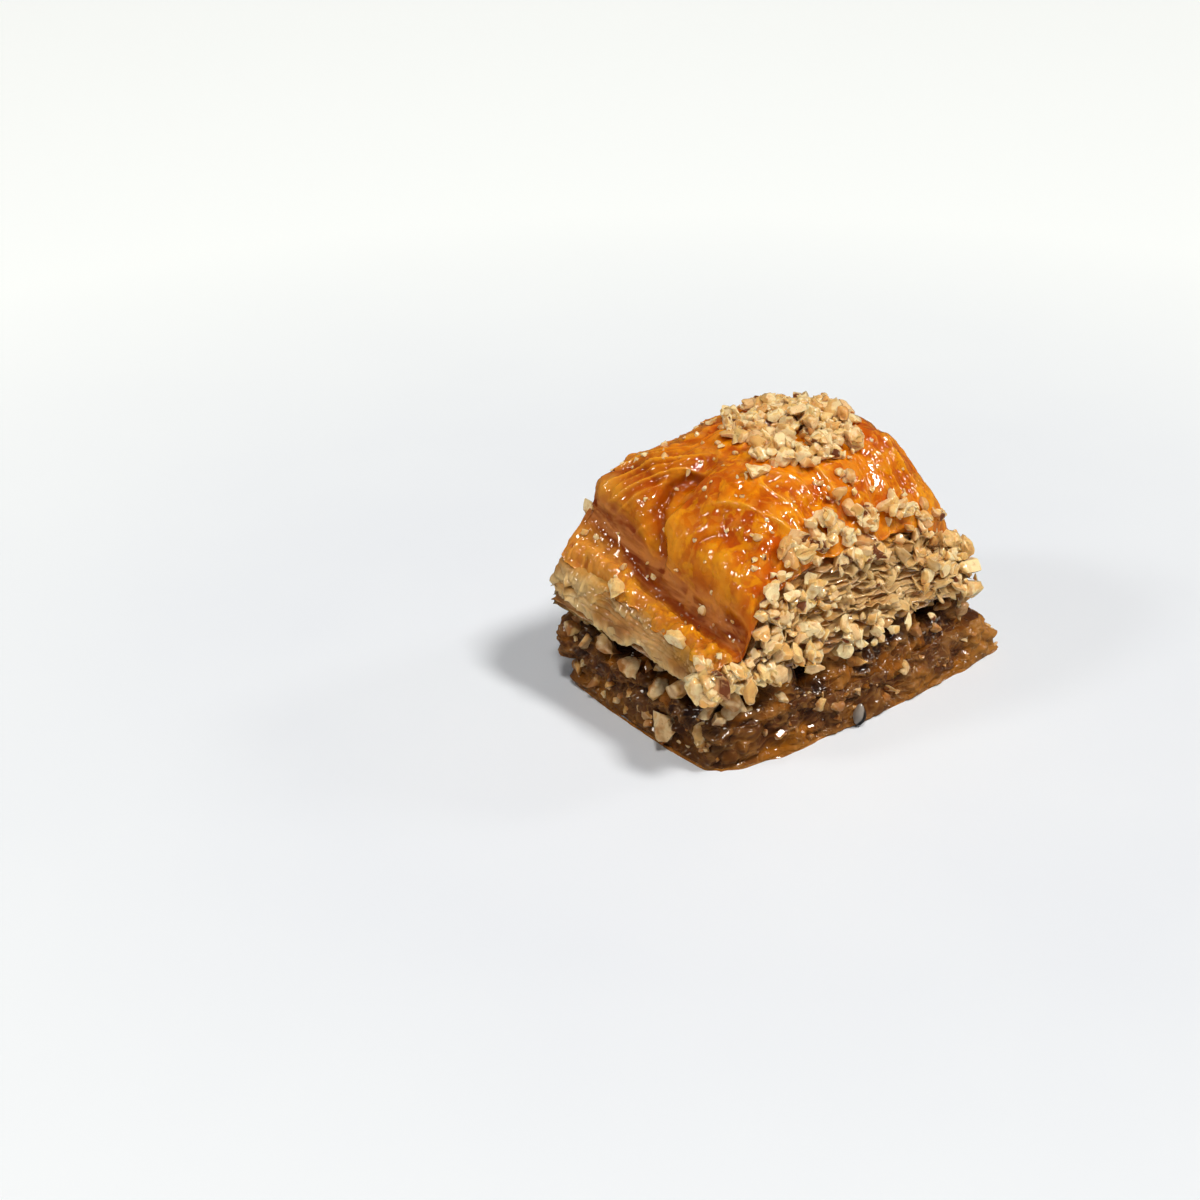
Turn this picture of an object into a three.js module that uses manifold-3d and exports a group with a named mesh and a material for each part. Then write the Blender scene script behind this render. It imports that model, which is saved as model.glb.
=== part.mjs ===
// One piece of walnut baklava, cut from the tray: a slab of syrup-soaked pastry sheets, a chopped walnut
// filling, and a puffed pile of sheets. The glazed top sheet, the skin, has baked into a dome, with chopped
// walnut stuck to it.
// Millimetres, +Z up. The origin is the middle of the bounding box's underside. X runs along the length.
// Places are given as a, from -1 at the left end to 1 at the right, b, from -1 at the front to 1 at the back,
// and h, from 0 at the underside of a layer to 1 at its top.
import * as THREE from "three";
import { mergeVertices } from "three/addons/utils/BufferGeometryUtils.js";
import Module from "manifold-3d";

const wasm = await Module();
wasm.setup();

// ---- Driving dimensions ----
// Corners of each plan: front left, front right, back right, back left.
const FOOT_PLAN = [[-28.2, -15.4], [28.6, -17.8], [25, 19], [-27.2, 18]];
const SLAB_PLAN = [[-27.4, -15], [26.2, -16.8], [22.8, 18.4], [-26.8, 17.4]];
const FILLING_PLAN = [[-26.8, -14.4], [20.8, -16.2], [20, 18], [-27.4, 17.6]];
const HEM_PLAN = [[-29.4, -15.6], [22.3, -17.8], [21.4, 19.6], [-30.2, 20]];
const SKIN_PLAN = [[-28.6, -15.4], [20.9, -12.6], [19.8, 18], [-27.6, 18.6]];
const CORNER_ROUNDING = 0.12;
// The slab's front bows out, and the skin's left edge is drawn in at its middle.
const SLAB_BOW = 1.3;
const SKIN_WAIST = 2.4;

const SLAB_TOP = 6.2;
const FILLING_TOP = 12.4;
const NODE_GAP = 0.4;
const PEAK = 37.4;
// The pile's underside waves up and down by up to one and a half times this.
const UNDERSIDE_WAVE = 0.3;

// Height of the skin's edge along each side, as [place along the side, height].
const RIM_FRONT = [
  [-1, 17.2], [-0.84, 18.8], [-0.7, 22.4], [-0.48, 25.4], [-0.2, 26.4], [0.1, 26.2], [0.6, 24], [1, 19.8],
];
const RIM_BACK = [[-1, 20.4], [-0.9, 22.6], [-0.78, 27.6], [-0.5, 29.8], [-0.1, 29.8], [0.5, 27], [1, 22]];
const RIM_LEFT = [[-1, 17.2], [-0.6, 17.6], [0, 18.7], [0.5, 19.8], [1, 20.4]];
const RIM_RIGHT = [[-1, 19.8], [-0.7, 23.8], [-0.3, 25.6], [0.3, 26], [0.6, 25], [1, 22]];

// The dome rises right of the crease, and is highest at the crown.
const CREASE = { front: -0.84, back: -0.72 };
const CROWN = { a: 0.28, b: 0.12 };
const DOME_POWER = 0.8;
// Folds of the skin: the line from one [a, b] to another, its half width in mm, and its depth.
const FOLDS = [
  { from: [-0.83, -1], to: [-0.81, 1], width: 1.7, depth: 1.9 },
  { from: [-0.78, 0.2], to: [-0.45, 0.12], width: 1.4, depth: 1.3 },
  { from: [0.3, -0.95], to: [0.46, -0.4], width: 1.4, depth: 1 },
];
// Blisters of the skin: place, reach along a and b, and height (below 0 for a hollow).
const BLISTERS = [
  { at: [-0.5, -0.42], reach: [0.24, 0.42], height: 1.6 },
  { at: [-0.6, 0.62], reach: [0.16, 0.26], height: 1.2 },
  { at: [0.68, -0.3], reach: [0.2, 0.32], height: 1 },
  { at: [0.35, 0.7], reach: [0.3, 0.2], height: 0.8 },
  { at: [-0.08, -0.7], reach: [0.12, 0.3], height: -1 },
];

// Grid steps along a, b and h. Every second row of the height is a sheet's edge, and the rows between are
// drawn in by the groove.
const TOP_STEPS = [32, 24, 10];
const FILLING_STEPS = [14, 10, 2];
const SLAB_STEPS = [16, 11, 8];
const TOP_RELIEF = { edge: 0.5, groove: 1.1 };
const SLAB_RELIEF = { edge: 0.35, groove: 0.6 };

// Chopped walnut on the skin: middle of each cluster, its reach along a and b, how many, and sizes in mm.
const CROWN_NUTS = { at: [0.28, 0.06], reach: [0.4, 0.44], count: 28, sizes: [2, 3.8] };
const SLOPE_NUTS = { at: [0.08, -0.74], reach: [0.26, 0.28], count: 11, sizes: [2, 3.6] };
const SCATTERED_NUTS = { at: [0.1, -0.1], reach: [0.8, 0.85], count: 7, sizes: [1.5, 2.4] };
// Chopped walnut on the pile's cut sides: stretch of the outline, how many, and sizes in mm.
const SIDE_NUTS = [
  { stretch: [0.04, 0.45], count: 13, sizes: [2, 3.4] },
  { stretch: [0.45, 0.98], count: 8, sizes: [2, 3.6] },
  { stretch: [1.1, 1.95], count: 7, sizes: [1.8, 3] },
  { stretch: [2.05, 2.95], count: 7, sizes: [1.8, 3] },
];
// Single pieces of walnut: place [a, b, h] on the pile, and size in mm.
const SINGLE_NUTS = [
  { at: [0.98, -0.98, 0.97], size: 4.2 },
  { at: [1, -0.99, 0.66], size: 4 },
  { at: [0.99, -1, 0.36], size: 3.6 },
  { at: [-0.97, -0.5, 1], size: 3.4 },
  { at: [-0.95, 0.35, 1], size: 2.6 },
];
// Walnut set into the filling's sides.
const FILLING_NUTS = { count: 38, sizes: [3, 6] };

// ---- Rules shared by the solids ----

// Seeded draws, so that each build places the same nuts.
function seededRandom(seed) {
  let state = seed >>> 0;
  return () => {
    state = (state + 0x6d2b79f5) >>> 0;
    let t = state;
    t = Math.imul(t ^ (t >>> 15), t | 1);
    t ^= t + Math.imul(t ^ (t >>> 7), t | 61);
    return ((t ^ (t >>> 14)) >>> 0) / 4294967296;
  };
}

// Monotone cubic through [place, value] points.
function smoothCurve(points, x) {
  const last = points.length - 1;
  const slope = (i) => (points[i + 1][1] - points[i][1]) / (points[i + 1][0] - points[i][0]);
  const tangent = (i) => {
    if (i === 0) return slope(0);
    if (i === last) return slope(last - 1);
    const before = slope(i - 1);
    const after = slope(i);
    return before * after > 0 ? (2 * before * after) / (before + after) : 0;
  };
  let i = 0;
  while (i < last - 1 && x > points[i + 1][0]) i += 1;
  const span = points[i + 1][0] - points[i][0];
  const t = THREE.MathUtils.clamp((x - points[i][0]) / span, 0, 1);
  const t2 = t * t;
  const t3 = t2 * t;
  return (
    (2 * t3 - 3 * t2 + 1) * points[i][1] +
    (t3 - 2 * t2 + t) * span * tangent(i) +
    (3 * t2 - 2 * t3) * points[i + 1][1] +
    (t3 - t2) * span * tangent(i + 1)
  );
}

// Value at (a, b) between four corner values.
function betweenCorners(corners, a, b) {
  const u = (a + 1) / 2;
  const front = THREE.MathUtils.lerp(corners[0], corners[1], u);
  const back = THREE.MathUtils.lerp(corners[3], corners[2], u);
  return THREE.MathUtils.lerp(front, back, (b + 1) / 2);
}

// Point of a plan at (a, b), with its corners drawn in a little.
function planPoint(plan, a, b) {
  const ra = a * Math.sqrt(1 - (CORNER_ROUNDING * b * b) / 2);
  const rb = b * Math.sqrt(1 - (CORNER_ROUNDING * a * a) / 2);
  return [0, 1].map((axis) => betweenCorners(plan.map((corner) => corner[axis]), ra, rb));
}

function skinPoint(a, b) {
  const [x, y] = planPoint(SKIN_PLAN, a, b);
  return [x + SKIN_WAIST * (1 - b * b) * ((1 - a) / 2) ** 2, y];
}

// Height of the skin's edge, carried inwards from the four sides.
function rimHeight(a, b) {
  const u = (a + 1) / 2;
  const v = (b + 1) / 2;
  const corners = [RIM_FRONT[0][1], RIM_FRONT.at(-1)[1], RIM_BACK.at(-1)[1], RIM_BACK[0][1]];
  const alongSides = (1 - u) * smoothCurve(RIM_LEFT, b) + u * smoothCurve(RIM_RIGHT, b);
  const alongFaces = (1 - v) * smoothCurve(RIM_FRONT, a) + v * smoothCurve(RIM_BACK, a);
  return alongSides + alongFaces - betweenCorners(corners, a, b);
}

// Share of the dome's rise at (a, b): 1 at the crown, 0 at the sides and left of the crease.
function domeShare(a, b) {
  const crease = THREE.MathUtils.lerp(CREASE.front, CREASE.back, (b + 1) / 2);
  const outA = a < CROWN.a ? (CROWN.a - a) / (CROWN.a - crease) : (a - CROWN.a) / (1 - CROWN.a);
  const outB = b < CROWN.b ? (CROWN.b - b) / (CROWN.b + 1) : (b - CROWN.b) / (1 - CROWN.b);
  const fall = (out) => (1 - Math.min(out, 1) ** 2) ** DOME_POWER;
  return fall(outA) * fall(outB);
}

// Depth of one fold at (a, b), by the distance in mm from its line.
function foldDepth({ from, to, width, depth }, a, b) {
  const [x, y] = skinPoint(a, b);
  const place = new THREE.Vector3(x, y, 0);
  const start = new THREE.Vector3(...skinPoint(...from), 0);
  const end = new THREE.Vector3(...skinPoint(...to), 0);
  const nearest = new THREE.Line3(start, end).closestPointToPoint(place, true, new THREE.Vector3());
  return depth * Math.exp(-((nearest.distanceTo(place) / width) ** 2));
}

function blisterHeight({ at, reach, height }, a, b) {
  return height * Math.exp(-(((a - at[0]) / reach[0]) ** 2) - ((b - at[1]) / reach[1]) ** 2);
}

function skinHeight(a, b) {
  const rim = rimHeight(a, b);
  const share = domeShare(a, b);
  const blisters = BLISTERS.reduce((sum, blister) => sum + blisterHeight(blister, a, b), 0);
  const folds = FOLDS.reduce((sum, fold) => sum + foldDepth(fold, a, b), 0);
  return rim + (PEAK - rim) * share + blisters * Math.min(1, share * 3) - folds;
}

// Ragged cut edge, from -1 to 1: how far a sheet's edge stands out at (a, b). Each sheet has its own phase.
function ragged(a, b, sheet) {
  const along = (a - b) * 9 + (a + b) * 5;
  return Math.sin(along + sheet * 2.4) * 0.6 + Math.sin(along * 2.3 - sheet * 1.7) * 0.4;
}

// How far a layered side stands out at one row of its grid: 0 away from the side.
function sideRelief(relief, rows, a, b, h) {
  const row = Math.round(h * rows);
  const side = Math.max(Math.abs(a), Math.abs(b)) ** 24;
  const drawnIn = row % 2 === 0 ? 0 : relief.groove;
  return side * (relief.edge * ragged(a, b, row) - drawnIn);
}

// Moves the plan point (x, y) outwards from the middle by a distance.
function movedOut(x, y, distance) {
  const scale = 1 + distance / Math.hypot(x, y, 1);
  return [x * scale, y * scale];
}

// A solid whose box grid is moved to place(a, b, h).
function warpedBox(steps, place) {
  const geometry = new THREE.BoxGeometry(2, 2, 2, ...steps);
  const position = geometry.getAttribute("position");
  for (let i = 0; i < position.count; i += 1) {
    const h = (position.getZ(i) + 1) / 2;
    position.setXYZ(i, ...place(position.getX(i), position.getY(i), h));
  }
  return solidOf(geometry);
}

function solidOf(geometry) {
  const bare = geometry.clone();
  bare.deleteAttribute("normal");
  bare.deleteAttribute("uv");
  const merged = mergeVertices(bare, 1e-4);
  return new wasm.Manifold(
    new wasm.Mesh({
      numProp: 3,
      vertProperties: new Float32Array(merged.getAttribute("position").array),
      triVerts: new Uint32Array(merged.index.array),
    }),
  );
}

// Joins the solids, and keeps the one large body without sealed hollows or loose scraps.
function fuse(solids) {
  const bodies = wasm.Manifold.union(solids).decompose();
  return bodies.reduce((largest, body) => (body.volume() > largest.volume() ? body : largest));
}

function geometryOf(solid) {
  const mesh = solid.getMesh();
  const geometry = new THREE.BufferGeometry();
  geometry.setAttribute("position", new THREE.BufferAttribute(new Float32Array(mesh.vertProperties), 3));
  geometry.setIndex(new THREE.BufferAttribute(new Uint32Array(mesh.triVerts), 1));
  geometry.computeVertexNormals();
  return geometry;
}

// A plain block wider than the piece, between two heights.
function blockBetween(low, high) {
  const geometry = new THREE.BoxGeometry(120, 120, high - low);
  geometry.translate(0, 0, (low + high) / 2);
  return solidOf(geometry);
}

// A chopped nut: an uneven 20-sided lump, flattened, turned and set at a point.
function nut(random, point, size) {
  const geometry = new THREE.IcosahedronGeometry(size / 2, 0);
  const position = geometry.getAttribute("position");
  const knobs = Array.from({ length: 3 }, () => (6 + 8 * random()) / size);
  for (let i = 0; i < position.count; i += 1) {
    const p = new THREE.Vector3().fromBufferAttribute(position, i);
    const bump = Math.sin(p.x * knobs[0]) + Math.cos(p.y * knobs[1]) + Math.sin(p.z * knobs[2]);
    p.multiplyScalar(1 + 0.12 * bump);
    position.setXYZ(i, p.x, p.y, p.z);
  }
  geometry.scale(0.8 + 0.5 * random(), 0.7 + 0.4 * random(), 0.5 + 0.3 * random());
  geometry.rotateX(random() * Math.PI);
  geometry.rotateY(random() * Math.PI);
  geometry.rotateZ(random() * Math.PI);
  geometry.translate(...point);
  return solidOf(geometry);
}

// A size between two, with small ones more often.
function nutSize(random, sizes) {
  return THREE.MathUtils.lerp(sizes[0], sizes[1], random() ** 1.6);
}

// Place [a, b] on the outline at a distance along it: the front side is 0 to 1, the right 1 to 2, the back
// 2 to 3, and the left 3 to 4.
function outlinePlace(distance) {
  const side = Math.floor(distance) % 4;
  const along = 2 * (distance % 1) - 1;
  return [[along, -1], [1, along], [-along, 1], [-1, -along]][side];
}

// ---- The pile of sheets under the glazed skin ----

// The pile's underside follows the uneven filling.
function pileUnderside(x, y) {
  const swell = Math.sin(x * 0.31 + 0.7) * Math.cos(y * 0.27 - 0.4);
  const ripple = 0.5 * Math.sin(x * 0.74 - y * 0.53 + 1.9);
  return FILLING_TOP + NODE_GAP + UNDERSIDE_WAVE * (swell + ripple);
}

function pilePoint(a, b, h) {
  const hem = planPoint(HEM_PLAN, a, b);
  const skin = skinPoint(a, b);
  const x = THREE.MathUtils.lerp(hem[0], skin[0], h);
  const y = THREE.MathUtils.lerp(hem[1], skin[1], h);
  const z = THREE.MathUtils.lerp(pileUnderside(x, y), skinHeight(a, b), h);
  return [...movedOut(x, y, sideRelief(TOP_RELIEF, TOP_STEPS[2], a, b, h)), z];
}

function nutsOnSkin(random, { at, reach, count, sizes }) {
  return Array.from({ length: count }, () => {
    const turn = random() * 2 * Math.PI;
    const out = Math.sqrt(random());
    const a = THREE.MathUtils.clamp(at[0] + reach[0] * out * Math.cos(turn), -0.93, 0.93);
    const b = THREE.MathUtils.clamp(at[1] + reach[1] * out * Math.sin(turn), -0.93, 0.93);
    const size = nutSize(random, sizes);
    const [x, y, z] = pilePoint(a, b, 1);
    return nut(random, [x, y, z + 0.12 * size], size);
  });
}

function nutsOnSide(random, { stretch, count, sizes }) {
  return Array.from({ length: count }, () => {
    const [a, b] = outlinePlace(THREE.MathUtils.lerp(stretch[0], stretch[1], random()));
    return nut(random, pilePoint(a, b, 0.15 + 0.85 * random()), nutSize(random, sizes));
  });
}

function topPastry() {
  const random = seededRandom(11);
  const onSkin = [CROWN_NUTS, SLOPE_NUTS, SCATTERED_NUTS].flatMap((cluster) => nutsOnSkin(random, cluster));
  const onSides = SIDE_NUTS.flatMap((cluster) => nutsOnSide(random, cluster));
  const single = SINGLE_NUTS.map(({ at, size }) => nut(random, pilePoint(...at), size));
  // No nut reaches below the pile's highest underside, so all stay clear of the filling.
  const above = blockBetween(FILLING_TOP + NODE_GAP + 1.5 * UNDERSIDE_WAVE, 2 * PEAK);
  const nuts = wasm.Manifold.union([...onSkin, ...onSides, ...single]).intersect(above);
  return fuse([warpedBox(TOP_STEPS, pilePoint), nuts]);
}

// ---- The walnut filling ----

function fillingPoint(a, b, h) {
  const [x, y] = planPoint(FILLING_PLAN, a, b);
  const side = Math.max(Math.abs(a), Math.abs(b)) ** 8;
  const z = THREE.MathUtils.lerp(SLAB_TOP + NODE_GAP, pileUnderside(x, y) - NODE_GAP, h);
  return [...movedOut(x, y, side * 0.8 * ragged(a, b, 5)), z];
}

// The core, with the walnut pieces that show set into its sides.
function walnutFilling() {
  const random = seededRandom(29);
  const { count, sizes } = FILLING_NUTS;
  const pieces = Array.from({ length: count }, (_, i) => {
    const [a, b] = outlinePlace(((i + 0.8 * random()) * 4) / count);
    const point = fillingPoint(a, b, 0.25 + 0.5 * random());
    return nut(random, point, nutSize(random, sizes));
  });
  // The pieces stay between the slab and the pile's lowest underside.
  const layer = blockBetween(SLAB_TOP + NODE_GAP, FILLING_TOP - 1.5 * UNDERSIDE_WAVE);
  return fuse([wasm.Manifold.union(pieces).intersect(layer), warpedBox(FILLING_STEPS, fillingPoint)]);
}

// ---- The slab of soaked sheets ----

// The slab is widest at its foot, and its front right corner is drawn out past the pile.
function slabPoint(a, b, h) {
  const foot = planPoint(FOOT_PLAN, a, b);
  const top = planPoint(SLAB_PLAN, a, b);
  const bow = SLAB_BOW * (1 - a * a) * ((1 - b) / 2);
  const x = THREE.MathUtils.lerp(foot[0], top[0], h);
  const y = THREE.MathUtils.lerp(foot[1], top[1], h) - bow;
  return [...movedOut(x, y, sideRelief(SLAB_RELIEF, SLAB_STEPS[2], a, b, h)), h * SLAB_TOP];
}

// ---- Materials and scene graph ----

const MATERIALS = {
  soaked_base: { color: 0x8a5a2c, roughness: 0.3, metalness: 0 },
  walnut_filling: { color: 0x5e4028, roughness: 0.45, metalness: 0 },
  top_pastry: { color: 0xc9781f, roughness: 0.25, metalness: 0 },
};

function namedMesh(name, solid) {
  const mesh = new THREE.Mesh(geometryOf(solid), new THREE.MeshStandardMaterial(MATERIALS[name]));
  mesh.name = name;
  return mesh;
}

const baklava = new THREE.Group();
baklava.add(namedMesh("soaked_base", warpedBox(SLAB_STEPS, slabPoint)));
baklava.add(namedMesh("walnut_filling", walnutFilling()));
baklava.add(namedMesh("top_pastry", topPastry()));

// The origin goes to the middle of the bounding box's underside.
const bounds = new THREE.Box3().setFromObject(baklava, true);
const middle = bounds.getCenter(new THREE.Vector3());
baklava.position.set(-middle.x, -middle.y, -bounds.min.z);

export default baklava;
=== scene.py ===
"""One piece of walnut baklava: a glazed, domed skin over a pile of pastry sheets, a chopped walnut filling
and a slab of syrup-soaked sheets, with walnut crumbs stuck all over it.

The shapes are worked out in millimetres. a runs along the piece from -1 at the left end to 1 at the right,
b from -1 at the front to 1 at the back, h from 0 at a layer's underside to 1 at its top, and t from 0 to 4
round the outline: the front, the right side, the back and the left side.
"""

import bpy
import numpy as np
from mathutils import Matrix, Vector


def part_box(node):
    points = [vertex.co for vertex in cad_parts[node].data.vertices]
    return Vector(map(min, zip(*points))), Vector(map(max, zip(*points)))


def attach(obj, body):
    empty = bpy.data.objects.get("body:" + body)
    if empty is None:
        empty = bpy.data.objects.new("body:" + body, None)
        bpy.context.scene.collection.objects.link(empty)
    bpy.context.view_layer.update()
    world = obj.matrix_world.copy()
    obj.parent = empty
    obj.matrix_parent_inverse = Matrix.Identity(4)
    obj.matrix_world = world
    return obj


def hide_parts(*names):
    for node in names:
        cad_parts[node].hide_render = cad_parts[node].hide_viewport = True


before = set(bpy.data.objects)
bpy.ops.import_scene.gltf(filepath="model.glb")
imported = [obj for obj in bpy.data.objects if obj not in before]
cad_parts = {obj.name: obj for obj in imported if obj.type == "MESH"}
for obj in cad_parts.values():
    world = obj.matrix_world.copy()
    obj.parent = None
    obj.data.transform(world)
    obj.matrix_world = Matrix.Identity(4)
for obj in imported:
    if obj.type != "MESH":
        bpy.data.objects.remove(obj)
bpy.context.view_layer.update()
MM = 0.001

# ---- Driving dimensions, in mm: the same as the solids' ----
# Corners of each plan: front left, front right, back right, back left.
FOOT_PLAN = ((-28.2, -15.4), (28.6, -17.8), (25.0, 19.0), (-27.2, 18.0))
SLAB_PLAN = ((-27.4, -15.0), (26.2, -16.8), (22.8, 18.4), (-26.8, 17.4))
FILLING_PLAN = ((-26.8, -14.4), (20.8, -16.2), (20.0, 18.0), (-27.4, 17.6))
HEM_PLAN = ((-29.4, -15.6), (22.3, -17.8), (21.4, 19.6), (-30.2, 20.0))
SKIN_PLAN = ((-28.6, -15.4), (20.9, -12.6), (19.8, 18.0), (-27.6, 18.6))
CORNER_ROUNDING = 0.12
SLAB_BOW = 1.3
SKIN_WAIST = 2.4
SLAB_TOP = 6.2
FILLING_TOP = 12.4
NODE_GAP = 0.4
PEAK = 37.4

# Height of the skin's edge along each side, as (place along the side, height).
RIM_FRONT = (
    (-1, 17.2), (-0.84, 18.8), (-0.7, 22.4), (-0.48, 25.4), (-0.2, 26.4), (0.1, 26.2), (0.6, 24), (1, 19.8)
)
RIM_BACK = ((-1, 20.4), (-0.9, 22.6), (-0.78, 27.6), (-0.5, 29.8), (-0.1, 29.8), (0.5, 27), (1, 22))
RIM_LEFT = ((-1, 17.2), (-0.6, 17.6), (0, 18.7), (0.5, 19.8), (1, 20.4))
RIM_RIGHT = ((-1, 19.8), (-0.7, 23.8), (-0.3, 25.6), (0.3, 26), (0.6, 25), (1, 22))
CREASE_FRONT, CREASE_BACK = -0.84, -0.72
CROWN_A, CROWN_B = 0.28, 0.12
DOME_POWER = 0.8
# Folds of the skin: from one (a, b) to another, half width and depth.
FOLDS = (
    ((-0.83, -1), (-0.81, 1), 1.7, 1.9),
    ((-0.78, 0.2), (-0.45, 0.12), 1.4, 1.3),
    ((0.3, -0.95), (0.46, -0.4), 1.4, 1.0),
)
# Blisters of the skin: place, reach along a and b, and height.
BLISTERS = (
    ((-0.5, -0.42), (0.24, 0.42), 1.6),
    ((-0.6, 0.62), (0.16, 0.26), 1.2),
    ((0.68, -0.3), (0.2, 0.32), 1.0),
    ((0.35, 0.7), (0.3, 0.2), 0.8),
    ((-0.08, -0.7), (0.12, 0.3), -1.0),
)
# The heap of crumbs on the crown: its place, and radius in mm.
HEAP_AT, HEAP_RADIUS = (0.18, 0.0), 9.4
# The solid's slab: columns and rows of points, how far a sheet's edge waves, and how deep its grooves are.
SLAB_COLUMNS, SLAB_ROWS, SLAB_EDGE, SLAB_GROOVE = 176, 8, 0.35, 0.6
# Half the skin's length and width, to turn a short way in mm into one in a or b.
HALF_LENGTH, HALF_WIDTH = 24.6, 17.2

# The camera: lens on a 36 mm sensor, the way it looks, and a point of the piece with its pixel.
LENS = 50
SENSOR = 36
FRAME_PX = 1200
ELEVATION, AZIMUTH = 28.5, -40
AIM_PX = (783, 664)
DISTANCE = 245


# ---- Small mathematics ----

def smooth_curve(points, x):
    """Monotone cubic through (place, value) points."""
    places, values = (np.array(column, float) for column in zip(*points))
    slopes = np.diff(values) / np.diff(places)
    before, after = slopes[:-1], slopes[1:]
    tangents = np.empty_like(values)
    tangents[1:-1] = np.where(before * after > 0, 2 * before * after / (before + after + 1e-12), 0)
    tangents[0], tangents[-1] = slopes[0], slopes[-1]
    x = np.clip(x, places[0], places[-1])
    i = np.clip(np.searchsorted(places, x, side="right") - 1, 0, len(places) - 2)
    span = places[i + 1] - places[i]
    t = (x - places[i]) / span
    return ((2 * t**3 - 3 * t**2 + 1) * values[i] + (t**3 - 2 * t**2 + t) * span * tangents[i]
            + (3 * t**2 - 2 * t**3) * values[i + 1] + (t**3 - t**2) * span * tangents[i + 1])


def smoothstep(low, high, x):
    t = np.clip((x - low) / (high - low), 0, 1)
    return t * t * (3 - 2 * t)


def lerp(start, end, t):
    return start + (end - start) * t


def unit(vectors):
    return vectors / np.maximum(np.linalg.norm(vectors, axis=-1, keepdims=True), 1e-9)


def lattice(ix, iy, iz, seed):
    """Pseudo-random number from 0 to 1 for each point of an integer lattice."""
    n = (ix * 374761393 + iy * 668265263 + iz * 1440662683 + seed * 1274126177) & 0xFFFFFFFF
    n = ((n ^ (n >> 13)) * 1274126177) & 0xFFFFFFFF
    n = ((n ^ (n >> 16)) * 2246822519) & 0xFFFFFFFF
    return ((n ^ (n >> 15)) & 0xFFFFFF) / 0xFFFFFF


def noise(x, y, z, seed=0):
    """Smooth value noise from -1 to 1, one lattice cell per unit."""
    x, y, z = np.broadcast_arrays(np.asarray(x, float), y, z)
    cell = [np.floor(v) for v in (x, y, z)]
    ix, iy, iz = (v.astype(np.int64) for v in cell)
    tx, ty, tz = (v - low for v, low in zip((x, y, z), cell))
    tx, ty, tz = (t**3 * (t * (6 * t - 15) + 10) for t in (tx, ty, tz))
    total = 0.0
    for dx in (0, 1):
        for dy in (0, 1):
            for dz in (0, 1):
                weight = (tx if dx else 1 - tx) * (ty if dy else 1 - ty) * (tz if dz else 1 - tz)
                total = total + weight * lattice(ix + dx, iy + dy, iz + dz, seed)
    return 2 * total - 1


def fbm(x, y, z, octaves=4, seed=0):
    """Layered noise, about -1 to 1."""
    total, strength, reach = 0.0, 1.0, 0.0
    for octave in range(octaves):
        k = 2.03**octave
        total = total + strength * noise(x * k, y * k, z * k, seed + octave)
        reach += strength
        strength *= 0.5
    return total / reach


def crumpled(x, y, z, seed):
    """Crumpled sheets seen on edge: thin wavy crests, broader along than up, from 0 to about 1."""
    wx = x + 0.9 * noise(x * 0.35, y * 0.35, z * 0.5, seed)
    wy = y + 0.9 * noise(x * 0.35, y * 0.35, z * 0.5, seed + 1)
    wz = z + 0.7 * noise(x * 0.4, y * 0.4, z * 0.6, seed + 2)
    broad = (1 - np.abs(noise(wx * 0.45, wy * 0.45, wz * 1.0, seed + 3)))**3
    small = (1 - np.abs(noise(wx * 1.1, wy * 1.1, wz * 1.9, seed + 4)))**3
    return 0.65 * broad + 0.35 * small


# ---- The piece's form ----

def plan_point(plan, a, b):
    """Point of a plan at (a, b), with its corners drawn in a little."""
    u = (a * np.sqrt(1 - CORNER_ROUNDING * b * b / 2) + 1) / 2
    v = (b * np.sqrt(1 - CORNER_ROUNDING * a * a / 2) + 1) / 2
    front_left, front_right, back_right, back_left = plan
    return tuple(
        lerp(lerp(front_left[i], front_right[i], u), lerp(back_left[i], back_right[i], u), v)
        for i in (0, 1)
    )


def skin_plan_point(a, b):
    x, y = plan_point(SKIN_PLAN, a, b)
    return x + SKIN_WAIST * (1 - b * b) * ((1 - a) / 2)**2, y


def rim_height(a, b):
    """Height of the skin's edge, carried inwards from the four sides."""
    u, v = (a + 1) / 2, (b + 1) / 2
    along_sides = lerp(smooth_curve(RIM_LEFT, b), smooth_curve(RIM_RIGHT, b), u)
    along_faces = lerp(smooth_curve(RIM_FRONT, a), smooth_curve(RIM_BACK, a), v)
    corners = lerp(lerp(RIM_FRONT[0][1], RIM_FRONT[-1][1], u), lerp(RIM_BACK[0][1], RIM_BACK[-1][1], u), v)
    return along_sides + along_faces - corners


def dome_share(a, b):
    """Share of the dome's rise: 1 at the crown, 0 at the sides and left of the crease."""
    crease = lerp(CREASE_FRONT, CREASE_BACK, (b + 1) / 2)
    out_a = np.where(a < CROWN_A, (CROWN_A - a) / (CROWN_A - crease), (a - CROWN_A) / (1 - CROWN_A))
    out_b = np.where(b < CROWN_B, (CROWN_B - b) / (CROWN_B + 1), (b - CROWN_B) / (1 - CROWN_B))
    return ((1 - np.clip(out_a, 0, 1)**2) * (1 - np.clip(out_b, 0, 1)**2))**DOME_POWER


def line_distance(start, end, a, b):
    """Distance in mm, across the plan, from the line between two (a, b) places."""
    x, y = skin_plan_point(a, b)
    sx, sy = skin_plan_point(*start)
    ex, ey = skin_plan_point(*end)
    t = np.clip(((x - sx) * (ex - sx) + (y - sy) * (ey - sy)) / ((ex - sx)**2 + (ey - sy)**2), 0, 1)
    return np.hypot(x - lerp(sx, ex, t), y - lerp(sy, ey, t))


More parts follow.
